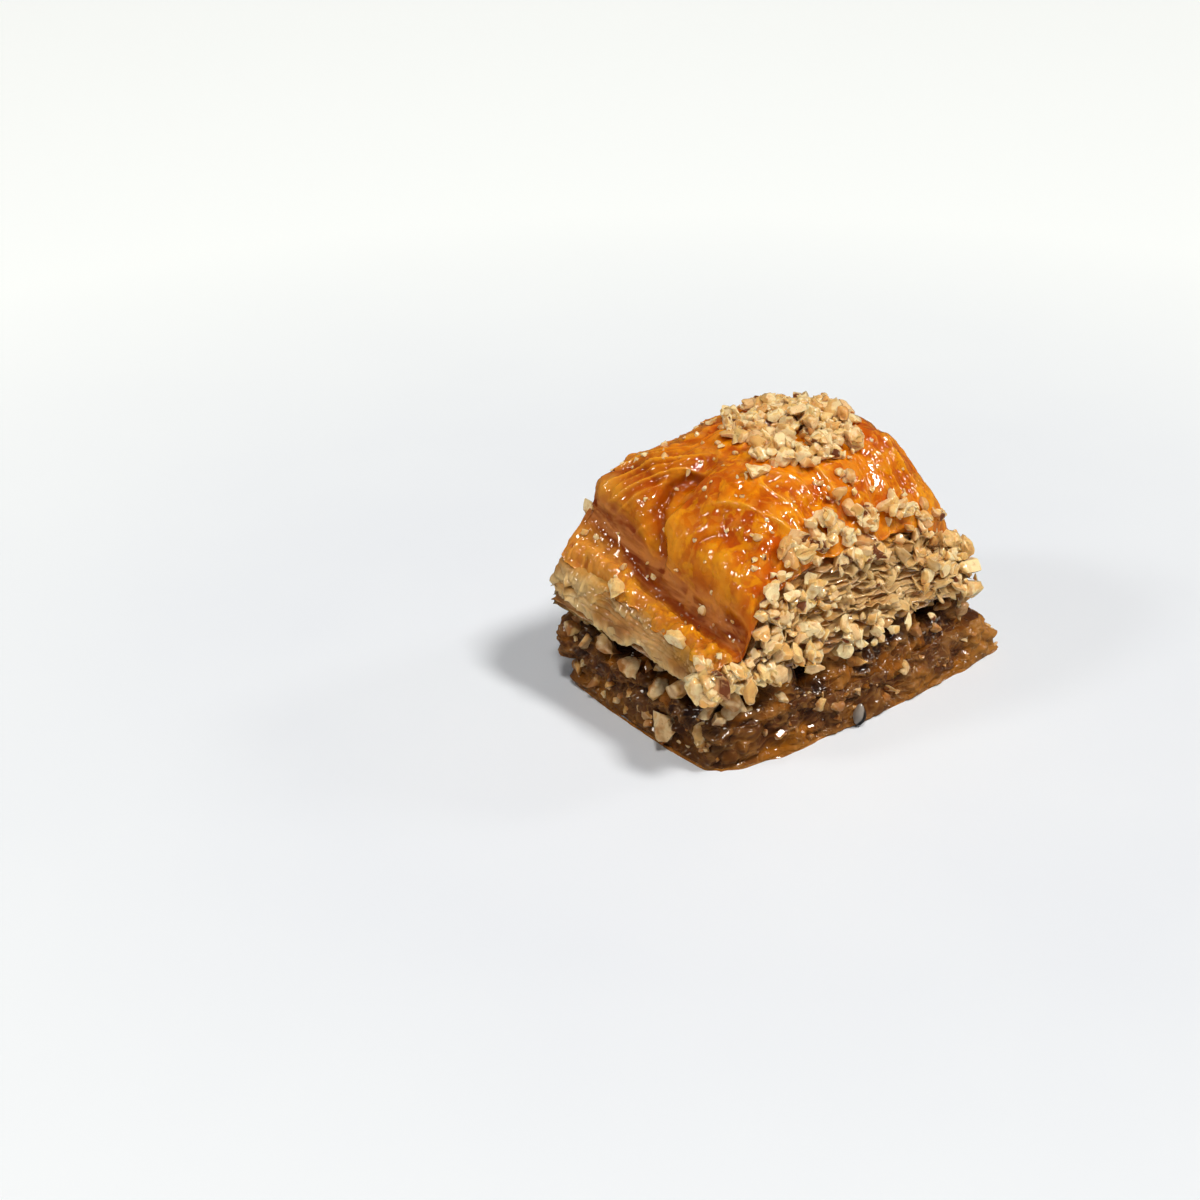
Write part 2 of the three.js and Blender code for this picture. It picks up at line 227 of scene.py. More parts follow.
def skin_height(a, b):
    rim, share = rim_height(a, b), dome_share(a, b)
    blisters = sum(
        height * np.exp(-((a - at[0]) / reach[0])**2 - ((b - at[1]) / reach[1])**2)
        for at, reach, height in BLISTERS
    )
    folds = sum(
        depth * np.exp(-(line_distance(start, end, a, b) / width)**2)
        for start, end, width, depth in FOLDS
    )
    return rim + (PEAK - rim) * share + blisters * np.minimum(1, 3 * share) - folds


def slab_plan_point(a, b, h):
    """Point of the slab at (a, b, h) in plan, with its front bowed out."""
    foot, top = plan_point(FOOT_PLAN, a, b), plan_point(SLAB_PLAN, a, b)
    bow = SLAB_BOW * (1 - a * a) * (1 - b) / 2
    return lerp(foot[0], top[0], h), lerp(foot[1], top[1], h) - bow


def pile_plan_point(a, b, h):
    """Point of the pile of sheets at (a, b, h) in plan: from the hem up to the skin's edge."""
    hem, skin = plan_point(HEM_PLAN, a, b), skin_plan_point(a, b)
    return lerp(hem[0], skin[0], h), lerp(hem[1], skin[1], h)


def around(steps):
    """Even places round the outline, as t."""
    return np.arange(steps) * 4 / steps


def outline_at(t):
    """(a, b) at t round the outline: 0 to 1 along the front, then the right, back and left side."""
    t = np.mod(t, 4)
    side, along = np.floor(t).astype(int), 2 * (t % 1) - 1
    one = np.ones_like(along)
    return np.choose(side, (along, one, -along, -one)), np.choose(side, (-one, along, one, -along))


def slab_solid_centre():
    """Middle, in plan, of the box of the CAD slab in these coordinates."""
    a, b = outline_at(around(SLAB_COLUMNS))
    points = []
    for row in range(SLAB_ROWS + 1):
        x, y = slab_plan_point(a, b, row / SLAB_ROWS)
        sheet_edge = np.sin((a - b) * 9 + (a + b) * 5 + row * 2.4) * 0.6
        sheet_edge = sheet_edge + np.sin(((a - b) * 9 + (a + b) * 5) * 2.3 - row * 1.7) * 0.4
        out = SLAB_EDGE * sheet_edge - (SLAB_GROOVE if row % 2 else 0)
        scale = 1 + out / np.sqrt(x * x + y * y + 1)
        points.append(np.stack([x * scale, y * scale], 1))
    points = np.concatenate(points)
    return (points.min(0) + points.max(0)) / 2


slab_low, slab_high = (np.array(corner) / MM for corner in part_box("soaked_base"))
# Where the middle of these coordinates lies in the frame.
SHIFT = np.array([*((slab_low + slab_high)[:2] / 2 - slab_solid_centre()), slab_low[2]])


# ---- Meshes ----

def make_object(name, points, faces, material, smooth=True, crisp=None, **attributes):
    """A mesh object from arrays of points in mm, faces (a list of index arrays) and one number per point.

    Edges that turn by more than crisp degrees stay sharp.
    """
    mesh = bpy.data.meshes.new(name)
    mesh.vertices.add(len(points))
    mesh.vertices.foreach_set("co", ((points + SHIFT) * MM).astype(np.float32).ravel())
    sizes = np.concatenate([np.full(len(block), block.shape[1]) for block in faces])
    mesh.loops.add(int(sizes.sum()))
    corners = np.concatenate([block.ravel() for block in faces])
    mesh.loops.foreach_set("vertex_index", corners.astype(np.int32))
    mesh.polygons.add(len(sizes))
    mesh.polygons.foreach_set("loop_start", np.concatenate([[0], np.cumsum(sizes)[:-1]]).astype(np.int32))
    mesh.polygons.foreach_set("use_smooth", np.full(len(sizes), smooth))
    for key, values in attributes.items():
        layer = mesh.attributes.new(key, "FLOAT", "POINT")
        layer.data.foreach_set("value", np.asarray(values, np.float32).ravel())
    mesh.update(calc_edges=True)
    mesh.validate()
    if crisp:
        mesh.set_sharp_from_angle(angle=np.radians(crisp))
    mesh.materials.append(material)
    piece = bpy.data.objects.new(name, mesh)
    bpy.context.scene.collection.objects.link(piece)
    return piece


def grid_faces(rows, columns, closed=False):
    """Quads of a grid of points, row by row. A closed grid's last column joins its first."""
    i = np.arange(rows - 1)[:, None] * columns
    j = np.arange(columns if closed else columns - 1)[None, :]
    k = (j + 1) % columns
    return np.stack([i + j, i + k, i + columns + k, i + columns + j], -1).reshape(-1, 4)


def capped(points, columns):
    """A closed grid's points with a middle point added for each end, and the triangles that close it."""
    count = len(points)
    first, last = np.arange(columns), np.arange(count - columns, count)
    middles = np.stack([points[first].mean(0), points[last].mean(0)])
    fans = np.concatenate([
        np.stack([np.roll(first, -1), first, np.full(columns, count)], 1),
        np.stack([last, np.roll(last, -1), np.full(columns, count + 1)], 1),
    ])
    return np.concatenate([points, middles]), fans


def grid_normals(points):
    """Unit normals of a (rows, columns, 3) grid of points."""
    return unit(np.cross(np.gradient(points, axis=1), np.gradient(points, axis=0)))


def loop_outwards(points):
    """Unit vectors that point out of a closed plan loop, softened at its corners."""
    ahead = np.roll(points, -1, 0) - np.roll(points, 1, 0)
    out = unit(np.stack([ahead[:, 1], -ahead[:, 0]], 1))
    window = max(3, len(points) // 90)
    return unit(sum(np.roll(out, k, 0) for k in range(-window, window + 1)))


def outwards_at(t, ring):
    """Outward vectors at t round the outline, from those at even places round it."""
    places = np.arange(len(ring)) * 4 / len(ring)
    return unit(np.stack([np.interp(t, places, ring[:, i], period=4) for i in (0, 1)], 1))


def shift_out(points, outwards, distance):
    """Points moved in plan along their outward vectors."""
    moved = points.copy()
    moved[..., :2] += outwards * distance[..., None]
    return moved


# ---- Materials ----

def rgb(red, green, blue):
    """Scene colour of a display colour given as 0 to 255."""
    v = np.array([red, green, blue]) / 255
    return (*np.where(v <= 0.04045, v / 12.92, ((v + 0.055) / 1.055)**2.4), 1)


class Finish:
    """A material under construction."""

    def __init__(self, name):
        self.material = bpy.data.materials.new(name)
        self.material.use_nodes = True
        self.tree = self.material.node_tree
        self.shader = self.tree.nodes["Principled BSDF"]
        self.place = self.node("ShaderNodeTexCoord").outputs["Object"]
        self.colour = None

    def node(self, kind, *inputs, **settings):
        """A node with its first inputs set from numbers or colours, or linked from sockets."""
        node = self.tree.nodes.new(kind)
        for key, value in settings.items():
            setattr(node, key, value)
        for socket, value in zip([s for s in node.inputs if s.enabled], inputs):
            self.put(socket, value)
        return node

    def put(self, socket, value):
        if isinstance(value, bpy.types.NodeSocket):
            self.tree.links.new(value, socket)
        elif value is not None:
            socket.default_value = value

    def attribute(self, name):
        return self.node("ShaderNodeAttribute", attribute_name=name).outputs["Fac"]

    def maths(self, operation, *values):
        return self.node("ShaderNodeMath", *values, operation=operation).outputs[0]

    def noise(self, per_mm, detail=4, roughness=0.55, distortion=0, stretch=(1, 1, 1)):
        """Noise, about 0.3 to 0.7, with so many cells per mm."""
        place = self.node("ShaderNodeVectorMath", self.place, stretch, operation="MULTIPLY").outputs[0]
        node = self.node("ShaderNodeTexNoise", place)
        node.inputs["Scale"].default_value = per_mm / MM
        node.inputs["Detail"].default_value = detail
        node.inputs["Roughness"].default_value = roughness
        node.inputs["Distortion"].default_value = distortion
        return node.outputs["Fac"]

    def beads(self, per_mm, radius):
        """Round drops, 1 at a large drop's top and 0 between them. radius is a share of the cell."""
        node = self.node("ShaderNodeTexVoronoi", self.place)
        node.inputs["Scale"].default_value = per_mm / MM
        own = self.span(node.outputs["Color"], 0.3, 0.8, 0.3 * radius, radius)
        out = self.maths("DIVIDE", node.outputs["Distance"], own)
        drop = self.maths("MAXIMUM", self.maths("SUBTRACT", 1, self.maths("MULTIPLY", out, out)), 0)
        return self.maths("MULTIPLY", drop, self.maths("DIVIDE", own, radius))

    def lines(self, per_mm, width, distortion, stretch=(1, 1, 1)):
        """Thin winding lines, 1 in a line's middle. width is a share of the noise's range."""
        noise = self.noise(per_mm, 0, 0.5, distortion, stretch)
        away = self.maths("ABSOLUTE", self.maths("SUBTRACT", noise, 0.5))
        return self.span(away, 0, width, 1, 0)

    def glints(self, per_mm, height_mm, ripple=0.0, strands=None):
        """Normals of drops of syrup, for the coat alone. ripple is the share of soft waves between them."""
        small = self.maths("MULTIPLY", self.beads(2.3 * per_mm, 0.42), 0.5)
        height = self.maths("MAXIMUM", self.beads(per_mm, 0.45), small)
        if ripple:
            waves = self.maths("MULTIPLY", self.noise(1.6 * per_mm, 1, 0.5, 0.5), ripple)
            height = self.maths("ADD", height, waves)
        if strands:
            height = self.maths("ADD", height, strands)
        return self.bump(height, height_mm)

    def span(self, value, low, high, bottom=0.0, top=1.0):
        """value from low to high, carried to bottom to top and held there beyond."""
        node = self.node("ShaderNodeMapRange")
        for socket, number in zip(node.inputs, (value, low, high, bottom, top)):
            self.put(socket, number)
        return node.outputs[0]

    def mix(self, share, first, second):
        node = self.tree.nodes.new("ShaderNodeMix")
        node.data_type = "RGBA"
        for key, value in (("Factor", share), ("A", first), ("B", second)):
            self.put(next(s for s in node.inputs if s.enabled and s.name == key), value)
        return next(s for s in node.outputs if s.enabled)

    def over(self, share, *colour):
        """Lays a display colour over the colour so far. share is a socket or an attribute's name."""
        share = self.attribute(share) if isinstance(share, str) else share
        self.colour = self.mix(share, self.colour, rgb(*colour))

    def bump(self, height, distance_mm, strength=1.0):
        node = self.node("ShaderNodeBump")
        node.inputs["Strength"].default_value = strength
        node.inputs["Distance"].default_value = distance_mm * MM
        self.put(node.inputs["Height"], height)
        return node.outputs["Normal"]

    def finish(self, **inputs):
        """Sets the shader's sockets, named with _ for a space. The colour so far is the base colour."""
        for key, value in {"Base_Color": self.colour, **inputs}.items():
            self.put(self.shader.inputs[key.replace("_", " ")], value)
        return self.material

    def wet(self, subsurface, reach_mm, radius, gloss, **inputs):
        """Finishes it as food under a clear coat of syrup, whose roughness and IOR are gloss."""
        return self.finish(
            Subsurface_Weight=subsurface, Subsurface_Radius=radius, Subsurface_Scale=reach_mm * MM,
            Coat_Weight=1.0, Coat_Roughness=gloss[0], Coat_IOR=gloss[1], **inputs,
        )


# How far light of each colour spreads in pale sheets and nuts, as shares.
PALE_SCATTER = (1.0, 0.85, 0.7)


def glazed_finish():
    """Baked pastry under syrup: yellow on its crests, partly painted highlight, red-brown in its creases,
    darker in its hollows, partly painted shade, tan where it is thin and, partly as painted reflection,
    along its back and right edges.
    """
    f = Finish("baked_glaze")
    f.colour = f.mix(f.span(f.noise(0.16, 3, 0.5, 0.6), 0.42, 0.58), rgb(196, 84, 0), rgb(226, 124, 0))
    f.over(f.span(f.noise(0.42, 3, 0.55, 1.0), 0.5, 0.6, 0, 0.7), 240, 156, 8)
    f.over(f.span(f.noise(0.7, 3, 0.6, 0.8), 0.54, 0.64, 0, 0.45), 172, 68, 0)
    # Air under the sheet shows as tan leaves.
    f.over(f.span(f.noise(0.34, 2, 0.5, 1.2), 0.58, 0.61, 0, 0.4), 228, 146, 40)
    # Painted highlight, partly paler pastry, on the crests.
    f.over("crest", 248, 172, 40)
    skirt = f.mix(f.span(f.noise(0.3, 3, 0.6, 1.2), 0.44, 0.56), rgb(186, 108, 24), rgb(226, 152, 14))
    skirt = f.mix(f.span(f.noise(0.5, 3, 0.5, 0.6), 0.53, 0.6, 0, 0.6), skirt, rgb(170, 92, 16))
    f.colour = f.mix(f.attribute("skirt"), f.colour, skirt)
    # Paler tan, partly painted reflection along the back and right edges.
    f.over("pale", 218, 148, 62)
    # Painted shade, partly pooled syrup, in the hollows and creases.
    f.over("depth", 148, 58, 0)
    streaks = f.noise(1.0, 3, 0.6, 0.4, (1, 0.1, 0.3))
    crease = f.mix(f.span(streaks, 0.42, 0.58), rgb(118, 44, 6), rgb(206, 134, 72))
    f.colour = f.mix(f.attribute("crease"), f.colour, crease)
    f.over(f.span(f.noise(1.1, 3, 0.7, 1.2), 0.68, 0.75, 0, 0.55), 140, 62, 6)
    return f.wet(
        0.15, 1.2, (1.0, 0.5, 0.15), (0.08, 1.6), Roughness=0.45, IOR=1.4, Specular_IOR_Level=0.0,
        Normal=f.bump(f.noise(1.2, 3, 0.5), 0.18, 0.5), Coat_Normal=f.glints(0.55, 0.36, 0.3),
    )


def sheet_finish():
    """Thin pastry sheets, from pale and translucent to stained brown by syrup, with painted shade and
    painted highlight.
    """
    f = Finish("sheet_edges")
    streak = f.noise(0.4, 3, 0.55, 0.8, (1, 1, 0.7))
    stain = f.attribute("stain")
    f.colour = f.mix(f.span(streak, 0.4, 0.6), rgb(212, 166, 104), rgb(232, 192, 132))
    # This attribute carries syrup stain and painted shade, and on the hanging sheets painted highlight where
    # it is low.
    f.over(f.span(stain, 0.15, 0.65), 178, 122, 66)
    f.over(f.span(stain, 0.6, 1.0), 104, 58, 24)
    f.over(f.span(f.noise(1.6, 3, 0.6), 0.56, 0.7, 0, 0.3), 168, 110, 56)
    f.over("amber", 214, 148, 50)
    return f.wet(
        0.4, 0.9, PALE_SCATTER, (0.1, 1.5), Roughness=0.45, IOR=1.42, Specular_IOR_Level=0.1,
        Normal=f.bump(f.noise(1.6, 4, 0.55, 0.5), 0.12, 0.5), Coat_Normal=f.glints(0.7, 0.4),
    )


def walnut_finish(name, wet):
    """Chopped walnut: cream cut faces, tan and honey pieces, and brown papery husk."""
    f = Finish(name)
    grain = f.noise(0.9, 4, 0.6, 0.8)
    tint = f.attribute("tint")
    f.colour = f.mix(f.span(tint, 0.0, 0.45), rgb(242, 207, 140), rgb(228, 184, 110))
    f.over(f.span(f.attribute("cut"), 0.2, 0.8), 252, 228, 176)
    f.over(f.span(tint, 0.4, 0.8, 0, 0.6), 216, 152, 84)
    f.over(f.span(tint, 0.85, 1.0), 170, 106, 50)
    f.over(f.span(grain, 0.46, 0.66, 0, 0.5), 212, 146, 84)
    f.over(f.maths("MULTIPLY", f.attribute("husk"), f.span(grain, 0.3, 0.45)), 118, 64, 34)
    f.over(f.span(f.noise(5.0, 3, 0.6), 0.66, 0.72, 0, 0.75), 84, 46, 26)
    if wet:
        f.over(f.span(f.noise(0.35, 2, 0.5, 0.5), 0.42, 0.58, 0.3, 1.6 * wet), 150, 86, 20)
    return f.wet(
        0.4, 0.6, PALE_SCATTER, (0.08, 1.5), Roughness=0.45, IOR=1.46, Specular_IOR_Level=0.1,
        Normal=f.bump(f.noise(2.2, 4, 0.6), 0.12, 0.5), Coat_Normal=f.glints(0.9, 0.26),
    )


def syrupy_finish(name, dark, middle, amber, light, coat_roughness=0.1):
    """Something soaked in dark syrup, crossed by the light edges of its sheets.

    It is amber or lighter where the attributes amber and pale say, and almost black, as painted shade, where
    deep says.
    """
    f = Finish(name)
    broad = f.noise(0.28, 2, 0.5, 0.8)
    f.colour = f.mix(f.span(broad, 0.4, 0.6), rgb(*dark), rgb(*middle))
    f.over("amber", *amber)
    f.over("pale", *light)
    f.over(f.span(f.noise(0.7, 2, 0.5, 0.6), 0.54, 0.64, 0, 0.35), *dark)
    strands = f.maths("MAXIMUM", f.lines(1.0, 0.06, 0.8, (0.4, 0.4, 1)), f.lines(0.5, 0.035, 0.4))
    strands = f.maths("MULTIPLY", strands, f.span(broad, 0.42, 0.58, 0.1, 1.0))
    f.over(f.maths("MULTIPLY", strands, 0.38), *light)
    # Painted shade: almost black in the hollows, and darker down the left side.
    f.over("deep", 22, 6, 2)
    return f.wet(
        0.2, 0.8, (1.0, 0.75, 0.5), (coat_roughness, 1.5), Roughness=0.4, IOR=1.4, Specular_IOR_Level=0.05,
        Normal=f.bump(strands, 0.12, 0.5),
        Coat_Normal=f.glints(0.75, 0.42, 0.15, f.maths("MULTIPLY", strands, 0.3)),
    )


GLAZED = glazed_finish()
SHEETS = sheet_finish()
CRUMB = walnut_finish("walnut_crumbs", 0)
NUT = walnut_finish("walnut_in_syrup", 0.55)
FILLING = syrupy_finish("filling_syrup", (46, 18, 4), (86, 46, 18), (160, 92, 10), (172, 120, 60))
SLAB = syrupy_finish("soaked_layers", (80, 40, 12), (104, 62, 32), (150, 88, 8), (176, 126, 64))
SYRUP = syrupy_finish("syrup", (104, 58, 16), (150, 96, 36), (166, 106, 34), (190, 140, 80), 0.05)


# ---- The glazed skin ----
SKIN_STEPS = ((350, 240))
SKIN_THICKNESS = 0.3
# The groove between the back left lobe and the main bulge.
SIDE_GROOVE = ((-0.79, 0.08), (-0.74, 0.18), (-0.71, 0.28), (-0.62, 0.28), (-0.5, 0.15))
# The skin's edge turns under in so many rings, and reaches in so far, in mm.
SKIN_TURN, HEM_TUCK = 5, 2.5


def bead_height(x, y, cell, share, seed):
    """Low round beads of syrup, at most one in each cell of a square lattice: heights, about 0 to 1."""
    height = np.zeros_like(x)
    cx, cy = np.floor(x / cell).astype(np.int64), np.floor(y / cell).astype(np.int64)
    for dx in (-1, 0, 1):
        for dy in (-1, 0, 1):
            ix, iy = cx + dx, cy + dy
            px = (ix + 0.15 + 0.7 * lattice(ix, iy, 1, seed)) * cell
            py = (iy + 0.15 + 0.7 * lattice(ix, iy, 2, seed)) * cell
            radius = cell * (0.24 + 0.24 * lattice(ix, iy, 3, seed))
            shown = lattice(ix, iy, 4, seed) < share
            stretch = 0.75 + 0.5 * lattice(ix, iy, 5, seed)
            out = (((x - px) / stretch)**2 + ((y - py) * stretch)**2) / radius**2
            height = np.maximum(height, np.where(shown, np.clip(1 - out, 0, 1) * radius / (0.48 * cell), 0))
    return height


def wrinkle(x, y, z, seed, sharpness):
    """Thin raised lines: 1 along a line, falling to 0 beside it."""
    return (1 - np.abs(noise(x, y, z, seed)))**sharpness


def crease_side(a, b):
    """Distance in mm to the right of the long crease, and to its left below 0."""
    x, y = skin_plan_point(a, b)
    (sx, sy), (ex, ey) = skin_plan_point(*FOLDS[0][0]), skin_plan_point(*FOLDS[0][1])
    return ((x - sx) * (ey - sy) - (y - sy) * (ex - sx)) / np.hypot(ex - sx, ey - sy)


def path_distance(path, a, b):
    return np.minimum.reduce([line_distance(start, end, a, b) for start, end in zip(path, path[1:])])


def skin_relief(x, y, z, a, b):
    """Height in mm of the skin's relief above its form, its painted shade in creases and grooves, partly
    syrup, and its painted highlight on thin raised lines, partly paler sheet.
    """
    side = crease_side(a, b)
    crease = np.exp(-((side - 0.3) / 1.8)**2)
    lobe = smoothstep(0.12, 0.35, b + 0.6 * (a + 0.7)) * smoothstep(-0.3, -0.5, a)
    lobe = lobe * smoothstep(0.2, 2.5, side)
    skirt = smoothstep(0.3, -1.2, side)
    wx = x + 1.6 * noise(x * 0.16, y * 0.16, z * 0.16, 3)
    wy = y + 1.6 * noise(x * 0.16, y * 0.16, z * 0.16, 4)
    # Soft swells, and thin raised wrinkles in patches.
    swells = np.abs(noise(wx * 0.15, wy * 0.17, z * 0.12, 5))
    small_swells = np.abs(noise(wx * 0.36, wy * 0.33, z * 0.3, 6))
    patch = smoothstep(-0.25, 0.3, noise(x * 0.13, y * 0.13, z * 0.1, 7))
    long_lines = wrinkle(wx * 0.24 + 0.08 * wy, wy * 0.11, z * 0.05, 8, 9)
    fine_lines = wrinkle(wx * 0.5, wy * 0.42, z * 0.3, 9, 7)
    lines = 0.42 * long_lines * (0.4 + 0.6 * patch) + 0.17 * fine_lines * (1 - 0.6 * patch)
    # Streaks along the crease, slanting wrinkles on the back left lobe, and wrinkles along the back edge.
    sway = 0.35 * noise(x * 0.2, y * 0.2, 0, 10)
    streaks = wrinkle(side * 0.9 + sway, y * 0.06, 0.5, 11, 4)
    streaks = np.maximum(streaks, 0.7 * wrinkle(side * 1.7 + sway, y * 0.1, 0.5, 12, 4))
    across, along = x * 0.8 + y * 0.6, y * 0.8 - x * 0.6
    slant = wrinkle(across * 0.42, along * 0.06, 0.2, 13, 4)
    slant = np.maximum(slant, 0.6 * wrinkle(across * 0.8, along * 0.1, 0.2, 14, 4))
    rear = smoothstep(0.45, 0.8, b) * (1 - lobe) * (1 - crease)
    rear_lines = wrinkle(y * 0.75 + sway, x * 0.05, 0.2, 15, 4)
    fine = fbm(x * 0.9, y * 0.9, z * 0.9, 3, 16)
    plain = (1 - crease) * (1 - skirt)
    relief = (0.75 * swells + 0.35 * small_swells - 0.6 + lines * (1 - 0.8 * lobe)) * plain
    relief = relief + 0.5 * crease * streaks + 0.6 * lobe * slant + 0.3 * rear * rear_lines + 0.05 * fine
    lumps = 0.7 * bead_height(x, y, 3.0, 0.8, 24) + 0.35 * bead_height(x, y, 1.5, 0.7, 25)
    lumps = lumps + 0.5 * small_swells + 0.7 * lines
    relief = relief + skirt * (0.4 * swells + lumps - 0.5)
    crown_x, crown_y = skin_plan_point(*HEAP_AT)
    relief = relief - 0.8 * np.exp(-((x - crown_x)**2 + (y - crown_y)**2) / 70)
    # The bulges stand up sharply beside the crease, and it is cut in between.
    crest = smoothstep(-0.98, -0.8, b) * smoothstep(0.3, 0.05, b) + 0.8 * lobe
    relief = relief + 1.1 * crest * np.exp(-((side - 3.0) / 1.5)**2)
    relief = relief - 0.9 * np.exp(-((side - 0.4) / 1.1)**2)
    groove = np.exp(-(path_distance(SIDE_GROOVE, a, b) / 0.85)**2)
    relief = relief - 1.3 * groove
    beads = 0.26 * bead_height(x + 0.3 * fine, y, 2.1, 0.5, 21)
    gathered = 0.35 + 0.65 * smoothstep(-0.2, 0.35, noise(x * 0.16, y * 0.16, 0, 23))
    # Painted shade, partly the darker red of pooled syrup, in the crease, the groove and between the
    # wrinkles.
    deep = 0.85 * np.exp(-((side - 0.9) / 1.1)**2) * (1.1 - 0.95 * streaks) + 0.8 * groove
    deep = deep + 0.5 * lobe * (0.8 - slant) + 0.25 * rear * (0.7 - rear_lines)
    # Painted highlight, partly their own paler colour, on the raised lines.
    shine = np.maximum.reduce([crease * streaks, lobe * slant * 0.7, rear * rear_lines, 1.4 * lines * plain])
    return relief + beads * gathered, np.clip(deep, 0, 1), np.clip(shine, 0, 1)


def blurred(grid, reach):
    """A grid's values averaged over so many steps each way, three times over."""
    for _ in range(3):
        for axis in (0, 1):
            size = grid.shape[axis]
            pad = [(reach + 1, reach) if k == axis else (0, 0) for k in (0, 1)]
            total = np.cumsum(np.pad(grid, pad, mode="edge"), axis=axis)
            high = np.take(total, np.arange(2 * reach + 1, 2 * reach + 1 + size), axis)
            grid = (high - np.take(total, np.arange(size), axis)) / (2 * reach + 1)
    return grid


def lowest_near(grid, reach):
    """A grid's lowest values within so many steps each way."""
    for axis in (0, 1):
        size = grid.shape[axis]
        pad = [(reach, reach) if k == axis else (0, 0) for k in (0, 1)]
        wide = np.pad(grid, pad, mode="edge")
        grid = np.min([np.take(wide, np.arange(k, k + size), axis) for k in range(2 * reach + 1)], axis=0)
    return grid


def nearest(grid, a, b):
    """What the skin's grid holds nearest to each (a, b)."""
    rows, columns = grid.shape[:2]
    i = np.clip(np.rint((b + 1) / 2 * (rows - 1)).astype(int), 0, rows - 1)
    j = np.clip(np.rint((a + 1) / 2 * (columns - 1)).astype(int), 0, columns - 1)
    return grid[i, j]


def inset_place(a, b, outwards, inset):
    """a and b of the places an inset in mm inside (a, b)."""
    return a - outwards[:, 0] * inset / HALF_LENGTH, b - outwards[:, 1] * inset / HALF_WIDTH


def skin_grid():
    """The top sheet's upper surface: points, and numbers that its colour follows."""
    rows, columns = SKIN_STEPS[1] + 1, SKIN_STEPS[0] + 1
    a, b = np.meshgrid(np.linspace(-1, 1, columns), np.linspace(-1, 1, rows))
    x, y = skin_plan_point(a, b)
    z = skin_height(a, b)
    # The edge of the sheet is ragged, and droops a little.
    edge = np.maximum(np.abs(a), np.abs(b))
    near_edge = smoothstep(0.9, 1, edge)
    tear = fbm(x * 0.3, y * 0.3, 0, 3, 31) * 1.1 + 0.15 * noise(x * 1.1, y * 1.1, 0, 32)
    scale = 1 + near_edge * tear / np.maximum(np.hypot(x, y), 1)
    x, y = x * scale, y * scale
    z = z - 0.7 * smoothstep(0.95, 1, edge)**2
    # On the left it hangs further, like the sheets below it.
    apron = smoothstep(-0.9, -1, a) * smoothstep(1, 0.93, np.abs(b))
    z = z - apron**1.6 * (1.1 + 0.7 * noise(y * 0.24, 0, 0, 33) + 0.3 * np.abs(noise(y * 0.7, 0, 0, 34)))
    x = x - apron * (0.5 + 0.4 * noise(y * 0.4, 0, 0, 35))
    points = np.stack([x, y, z], -1)
    relief, deep, shine = skin_relief(x, y, z, a, b)
    points = points + grid_normals(points) * (relief * smoothstep(1.0, 0.975, edge))[..., None]
    # Painted shade, partly pooled syrup, darkens the hollows, and painted highlight, partly paler pastry,
    # lightens the crests.
    step = columns / 56
    hollow = (blurred(relief, int(0.7 * step)) - relief) / 0.2
    hollow = hollow + (blurred(relief, int(2.4 * step)) - relief) / 1.1
    depth = np.clip(deep + 0.36 * np.clip(hollow, 0, 1.4), 0, 0.9)
    crest = np.clip(-hollow * 0.22 + 0.45 * shine, 0, 0.75) * (1 - 0.7 * deep)
    side = crease_side(a, b)
    lobe = smoothstep(0.2, 0.7, b) * smoothstep(-0.2, -0.6, a)
    skirt = smoothstep(0.4, -0.8, side)
    # Paler along the back and right edges, partly painted reflection; paler also on the back left lobe, at
    # the thin edge and on the skirt.
    pale = 0.12 * lobe + 0.25 * smoothstep(0.6, 0.95, b) + 0.3 * smoothstep(0.93, 1, edge)
    pale = pale + 0.55 * skirt * smoothstep(-0.4, 0.6, b) + 0.4 * smoothstep(0.8, 0.97, a)
    shades = {
        "depth": depth,
        "crest": crest,
        "pale": np.clip(pale * (1 + 0.8 * fbm(x * 0.3, y * 0.3, 0, 3, 36)), 0, 0.85),
        "skirt": skirt * (0.75 + 0.25 * smoothstep(-0.6, 0.6, b)),
        "crease": 0.8 * np.exp(-((side - 0.8) / 1.0)**2) * smoothstep(-1.02, -0.85, b),
    }
    return points, shades


